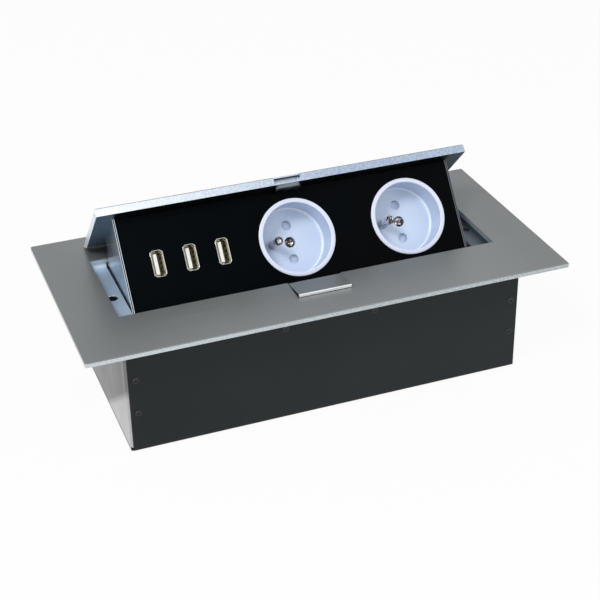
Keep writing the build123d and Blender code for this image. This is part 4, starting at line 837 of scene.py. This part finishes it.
def centre_screw(side, sizes):
    """Domed screw with a cross slot, sunk in the cup's floor."""
    radius = sizes.screw_radius
    floor = -sizes.cup_depth
    shank = 1.2 * MM
    profile = [(shank, floor - 9.0 * MM), (shank, floor - 1.1 * MM), (radius, floor - 1.1 * MM)]
    for across, up in quarter_arc(6)[1:]:
        profile.append((max(0.2 * MM, radius * across), floor - 1.0 * MM + 1.1 * MM * up))
    piece = lathe("centre_screw_head_" + side, profile, sides=40)
    cut_cross(piece, size=(2.6 * MM, 0.55 * MM, 1.2 * MM), level=floor, turn=0.4)
    smooth(piece)
    return settle(piece, panel_matrix(SOCKET_X[side]))


def port_shell(number, sizes):
    """Folded port shell whose mouth turns out, with cut corners."""
    deselect()
    bpy.ops.mesh.primitive_plane_add(size=1)
    piece = name_piece("port_shell_" + str(number))
    half_width = sizes.width / 2
    half_height = sizes.height / 2
    bpy.ops.object.mode_set(mode="EDIT")
    bpy.ops.mesh.select_all(action="SELECT")
    bpy.ops.transform.resize(value=(sizes.width, sizes.height, 1), center_override=(0, 0, 0))
    bpy.ops.transform.translate(value=(0, 0, -sizes.length))
    bpy.ops.mesh.bevel(offset=1.1 * MM, segments=1, affect="VERTICES")
    mouth = sizes.flare
    rings = [
        (half_width, half_height, -sizes.length),
        (half_width, half_height, -0.3 * MM),
        (half_width + 0.15 * MM, half_height + 0.15 * MM, 0.05 * MM),
        (half_width + mouth, half_height + mouth, sizes.proud - 0.15 * MM),
        (half_width + mouth, half_height + mouth, sizes.proud),
        (half_width + mouth - 0.3 * MM, half_height + mouth - 0.3 * MM, sizes.proud),
        (half_width - 0.1 * MM, half_height - 0.1 * MM, 0.0),
        (half_width - sizes.wall, half_height - sizes.wall, -0.6 * MM),
        (half_width - sizes.wall, half_height - sizes.wall, -sizes.length + 0.6 * MM),
    ]
    draw_rings(rings)
    bpy.ops.object.mode_set(mode="OBJECT")
    right_normals(piece)
    soften(piece, width=0.06 * MM, angle=25.0)
    smooth(piece, angle=30.0)
    return settle(piece, panel_matrix(USB_X[number - 1]))


def notch_cover():
    """Thin rounded skin that closes the top of the pocket in the lid's front edge."""
    width, depth, thick = NOTCH_SIZE
    front = LID_FRONT + 0.5 * MM
    middle = (0, (front + LID_FRONT + depth) / 2, TOP - thick)
    deselect()
    bpy.ops.mesh.primitive_plane_add(size=1, location=middle)
    piece = name_piece("notch_cover")
    bpy.ops.object.mode_set(mode="EDIT")
    bpy.ops.mesh.select_all(action="SELECT")
    bpy.ops.transform.resize(value=(width, LID_FRONT + depth - front, 1), center_override=middle)
    bpy.ops.mesh.extrude_region_move(TRANSFORM_OT_translate={"value": (0, 0, thick - 0.05 * MM)})
    bpy.ops.object.mode_set(mode="OBJECT")
    right_normals(piece)
    soften(piece, width=0.2 * MM)
    smooth(piece, angle=30.0)
    to_pivot = Matrix.Translation((0, -PIVOT_Y, -PIVOT_Z))
    back = Matrix.Translation((0, PIVOT_Y, PIVOT_Z))
    return settle(piece, back @ Matrix.Rotation(-OPEN_ANGLE, 4, "X") @ to_pivot)


def small_screw():
    """Small cross-slot screw with a low domed head, standing at the origin with its head up."""
    profile = [
        (1.25 * MM, -3.2 * MM),
        (1.25 * MM, 0.0),
        (1.75 * MM, 0.0),
        (1.75 * MM, 0.2 * MM),
        (1.5 * MM, 0.42 * MM),
        (0.9 * MM, 0.6 * MM),
        (0.3 * MM, 0.65 * MM),
    ]
    piece = lathe("small_screw", profile, sides=28)
    cut_cross(piece, size=(1.9 * MM, 0.45 * MM, 0.8 * MM), level=0.6 * MM, turn=0.5)
    smooth(piece)
    return piece


def screw_group(name, pattern, spots):
    """Copies of one screw on the front and rear walls, joined under one name."""
    copies = []
    for x, z, wall in spots:
        pick(pattern)
        bpy.ops.object.duplicate()
        place = Matrix.Translation((x, wall * WALL_Y, z)) @ Matrix.Rotation(-wall * pi / 2, 4, "X")
        copies.append(settle(bpy.context.object, place))
    deselect()
    for copy in copies:
        copy.select_set(True)
    bpy.context.view_layer.objects.active = copies[0]
    bpy.ops.object.join()
    return name_piece(name)


def ledge_screw(side):
    """Countersunk screw with a cross slot in a ledge."""
    x = LEDGE_SCREW_X * (-1 if side == "left" else 1)
    head = 2.8 * MM
    profile = [
        (1.25 * MM, -5.3 * MM),
        (1.25 * MM, -1.2 * MM),
        (head, -0.12 * MM),
        (head - 0.1 * MM, -0.02 * MM),
        (head * 0.6, 0.0),
    ]
    piece = lathe("ledge_screw_" + side, profile, sides=40)
    cut_cross(piece, size=(2.8 * MM, 0.6 * MM, 1.4 * MM), level=0, turn=0.7)
    smooth(piece)
    return settle(piece, Matrix.Translation((x, 0, LEDGE_TOP)))


def add_wall_screws():
    """The small screws of the box and of the tab's bracket, all copies of one pattern."""
    finish = polished_metal("dark_small_screw", (0.045, 0.047, 0.050), roughness=0.22)
    pattern = small_screw()
    shell_spots = []
    for wall, drops in SHELL_SCREW_DROPS.items():
        for side in (-1, 1):
            for drop in drops:
                shell_spots.append((side * SHELL_SCREW_X, TOP - drop, wall))
    bracket_spots = [(side * BRACKET_SCREW_X, TOP - BRACKET_SCREW_DROP, -1) for side in (-1, 1)]
    shell_group = screw_group("wall_screws", pattern, shell_spots)
    add_piece(shell_group, finish, "housing", "dark_screws", "shell_screws")
    bracket_group = screw_group("front_screws", pattern, bracket_spots)
    add_piece(bracket_group, finish, "housing", "dark_screws", "bracket_screws")
    pick(pattern)
    bpy.ops.object.delete()


class POWERMODULE_OT_stage(bpy.types.Operator):
    """Pale floor, soft lamps and the camera"""

    bl_idname = "power_module.stage"
    bl_label = "Stage"

    def execute(self, context):
        values = settings("stage")
        place_camera(values)
        lay_floor()
        hang_lamp("key_lamp", place=(-0.75, -0.55, 1.25), size=0.45, power=values.key_power)
        hang_lamp("low_lamp", place=(-0.75, -1.2, 0.42), size=0.5, power=values.low_power)
        hang_lamp("fill_lamp", place=(0.9, -0.9, 0.8), size=0.9, power=values.fill_power)
        light_room(values)
        context.scene.view_settings.view_transform = "Standard"
        return {"FINISHED"}


def place_camera(values):
    """Camera where the photograph was taken from."""
    back = Vector((
        sin(values.azimuth) * cos(values.elevation),
        -cos(values.azimuth) * cos(values.elevation),
        sin(values.elevation),
    ))
    level = (-back).cross(Vector((0, 0, 1))).normalized()
    above = level.cross(-back)
    across = cos(values.roll) * level + sin(values.roll) * above
    upward = -sin(values.roll) * level + cos(values.roll) * above
    turn = Matrix((across, upward, back)).transposed()
    bpy.ops.object.camera_add(location=values.camera_place, rotation=turn.to_euler())
    camera = bpy.context.object
    camera.name = "photo_camera"
    camera.data.sensor_width = 36.0
    camera.data.sensor_fit = "HORIZONTAL"
    camera.data.lens = values.lens
    bpy.context.scene.camera = camera


def hang_lamp(name, place, size, power):
    """Square soft lamp that looks at the module."""
    aim = Vector((0, 0, 0.05)) - Vector(place)
    bpy.ops.object.light_add(type="AREA", location=place, rotation=aim.to_track_quat("-Z", "Y").to_euler())
    lamp = bpy.context.object
    lamp.name = name
    lamp.data.shape = "SQUARE"
    lamp.data.size = size
    lamp.data.energy = power


def seen_directly(tree):
    """1 for rays that show the background: from the camera, in a mirror or through glass."""
    path = tree.nodes.new("ShaderNodeLightPath")
    seen = path.outputs["Is Camera Ray"]
    for kind in ("Is Glossy Ray", "Is Transmission Ray"):
        either = tree.nodes.new("ShaderNodeMath")
        either.operation = "MAXIMUM"
        tree.links.new(seen, either.inputs[0])
        tree.links.new(path.outputs[kind], either.inputs[1])
        seen = either.outputs["Value"]
    return seen


def lay_floor():
    """Wide pale floor that shows white and keeps a soft shadow."""
    deselect()
    bpy.ops.mesh.primitive_plane_add(size=FLOOR_SIZE, location=(0, 0, -FLOOR_DROP))
    floor = name_piece("floor")
    material = bpy.data.materials.new("pale_floor")
    material.use_nodes = True
    tree = material.node_tree
    tree.nodes.clear()
    output = tree.nodes.new("ShaderNodeOutputMaterial")
    blend = tree.nodes.new("ShaderNodeMixShader")
    matt = tree.nodes.new("ShaderNodeBsdfDiffuse")
    matt.inputs["Color"].default_value = (0.8, 0.8, 0.8, 1)
    glow = tree.nodes.new("ShaderNodeEmission")
    share = tree.nodes.new("ShaderNodeMath")
    share.operation = "MULTIPLY"
    share.inputs[1].default_value = FLOOR_GLOW
    tree.links.new(seen_directly(tree), share.inputs[0])
    tree.links.new(share.outputs["Value"], blend.inputs["Fac"])
    tree.links.new(matt.outputs["BSDF"], blend.inputs[1])
    tree.links.new(glow.outputs["Emission"], blend.inputs[2])
    tree.links.new(blend.outputs["Shader"], output.inputs["Surface"])
    floor.data.materials.append(material)


def light_room(values):
    """Even room light, white where it is seen directly."""
    world = bpy.data.worlds.new("white_room")
    bpy.context.scene.world = world
    world.use_nodes = True
    tree = world.node_tree
    background = tree.nodes["Background"]
    strength = tree.nodes.new("ShaderNodeMapRange")
    strength.inputs["To Min"].default_value = values.room_light
    strength.inputs["To Max"].default_value = 1.0
    background.inputs["Color"].default_value = (1, 1, 1, 1)
    tree.links.new(seen_directly(tree), strength.inputs["Value"])
    tree.links.new(strength.outputs["Result"], background.inputs["Strength"])


class POWERMODULE_OT_metalwork(bpy.types.Operator):
    """Finish the frame, lid, box, end plates and cheeks"""

    bl_idname = "power_module.metalwork"
    bl_label = "Metalwork"

    def execute(self, context):
        colours = settings("colours")
        wear(frame_finish("brushed_frame", colours.plate, colours.plate_edge), "frame_plate")
        wear(tab_finish("brushed_tab", colours.plate, colours.plate_edge), "release_tab")
        lid_metal = lid_finish("brushed_lid", colours.plate, colours.plate_edge)
        wear(lid_metal, "lid_plate")
        add_piece(notch_cover(), lid_metal, "lid", "brushed_frame")
        wear(black_coat("black_box", colours.shell), "housing_shell", "rear_cover")
        wear(bright_zinc("bright_ends", colours.bright), *pair("end_plate"))
        wear(cheek_finish("polished_cheek"), *pair("cheek"))
        wear(polished_metal("dark_strike", (0.17, 0.20, 0.21), roughness=0.3), "strike_plate", "latch_leaf")
        return {"FINISHED"}


class POWERMODULE_OT_sockets(bpy.types.Operator):
    """Make the socket faces and their screws, and finish the pins and shutters"""

    bl_idname = "power_module.sockets"
    bl_label = "Sockets"

    def execute(self, context):
        sizes = settings("sockets")
        colours = settings("colours")
        white = white_moulding("white_socket", colours.socket)
        dark = screw_finish("dark_screw_head")
        for side in SOCKET_X:
            face = socket_face(side, sizes)
            add_piece(face, white, "lid", "white_socket", "socket_insert_" + side)
            screw = centre_screw(side, sizes)
            add_piece(screw, dark, "lid", "dark_screws", "centre_screw_" + side)
        wear(plain_moulding("white_shutter", (0.64, 0.73, 0.93), roughness=0.4), *pair("shutter"))
        wear(pin_finish("nickel_pin", colours.nickel), *pair("earth_pin"))
        wear(plain_moulding("socket_block", (0.62, 0.62, 0.60), roughness=0.55), *pair("socket_base"))
        wear(polished_metal("gilt", (0.62, 0.42, 0.14), roughness=0.2), *pair("contact_sleeves"))
        wear(gloss_black("gloss_panel", colours.panel), "socket_panel")
        return {"FINISHED"}


class POWERMODULE_OT_ports(bpy.types.Operator):
    """Make the charging ports' shells and finish what is in them"""

    bl_idname = "power_module.ports"
    bl_label = "Charging ports"

    def execute(self, context):
        sizes = settings("ports")
        nickel = polished_metal("nickel_shell", (0.50, 0.49, 0.42), roughness=0.16)
        for number in (1, 2, 3):
            shell = port_shell(number, sizes)
            add_piece(shell, nickel, "lid", "nickel", "usb_shell_" + str(number))
        tongue = plain_moulding("white_tongue", (0.80, 0.80, 0.76), roughness=0.4)
        wear(tongue, "usb_tongue_1", "usb_tongue_2", "usb_tongue_3")
        wear(polished_metal("gilt_contacts", (0.62, 0.46, 0.18), roughness=0.2), "usb_contacts")
        wear(plain_moulding("green_board", (0.02, 0.14, 0.06), roughness=0.4), "usb_board")
        wear(plain_moulding("winding_tape", (0.60, 0.42, 0.08), roughness=0.4), "usb_transformer")
        wear(plain_moulding("capacitor_sleeve", (0.03, 0.04, 0.08), roughness=0.35), "usb_capacitors")
        return {"FINISHED"}


class POWERMODULE_OT_fasteners(bpy.types.Operator):
    """Make the ledge screws and finish the other screws, pins, springs and bushes"""

    bl_idname = "power_module.fasteners"
    bl_label = "Fasteners"

    def execute(self, context):
        dark = polished_metal("black_zinc", (0.06, 0.06, 0.065), roughness=0.3)
        add_piece(ledge_screw("left"), dark, "housing", "dark_screws", "ledge_screws")
        add_piece(ledge_screw("right"), dark, "housing", "dark_screws")
        add_wall_screws()
        wear(dark, "lid_screws", "strike_screws", "board_screws")
        steel = polished_metal("zinc_steel", (0.50, 0.50, 0.51), roughness=0.28)
        wear(steel, *pair("pivot_pin"), *pair("pivot_clip"))
        wear(steel, "tab_pin", "tab_bracket", "earth_stud", "earth_nut")
        spring_wire = polished_metal("spring_wire", (0.32, 0.32, 0.33), roughness=0.25)
        wear(spring_wire, *pair("torsion_spring"), *pair("shutter_spring"))
        wear(plain_moulding("nylon_bush", (0.78, 0.76, 0.68), roughness=0.45), *pair("pivot_bush"))
        rubber = plain_moulding("soft_black", (0.018, 0.018, 0.019), roughness=0.6)
        wear(rubber, "cable_grommet", "cover_grommet")
        return {"FINISHED"}


class POWERMODULE_PT_tools(bpy.types.Panel):
    """The module's steps and settings in the sidebar"""

    bl_label = "Power Module"
    bl_idname = "POWERMODULE_PT_tools"
    bl_space_type = "VIEW_3D"
    bl_region_type = "UI"
    bl_category = "Power Module"

    def draw(self, context):
        layout = self.layout
        for operator in STEPS:
            layout.operator(operator.bl_idname)
        for group in GROUPS:
            values = settings(group)
            layout.label(text=group.capitalize())
            for name in values.__annotations__:
                layout.prop(values, name)


GROUPS = {
    "sockets": SocketSizes,
    "ports": PortSizes,
    "colours": FinishColours,
    "stage": StageSettings,
}
STEPS = (
    POWERMODULE_OT_stage,
    POWERMODULE_OT_metalwork,
    POWERMODULE_OT_sockets,
    POWERMODULE_OT_ports,
    POWERMODULE_OT_fasteners,
)


def register():
    """Add the settings, the steps and the panel."""
    for name, group in GROUPS.items():
        bpy.utils.register_class(group)
        setattr(bpy.types.Scene, "power_module_" + name, bpy.props.PointerProperty(type=group))
    for step in STEPS:
        bpy.utils.register_class(step)
    bpy.utils.register_class(POWERMODULE_PT_tools)


def unregister():
    """Remove them again."""
    bpy.utils.unregister_class(POWERMODULE_PT_tools)
    for step in reversed(STEPS):
        bpy.utils.unregister_class(step)
    for name, group in reversed(list(GROUPS.items())):
        delattr(bpy.types.Scene, "power_module_" + name)
        bpy.utils.unregister_class(group)


def main():
    """Run every step in order."""
    register()
    bpy.ops.power_module.stage()
    bpy.ops.power_module.metalwork()
    bpy.ops.power_module.sockets()
    bpy.ops.power_module.ports()
    bpy.ops.power_module.fasteners()
    deselect()


if __name__ == "__main__":
    main()
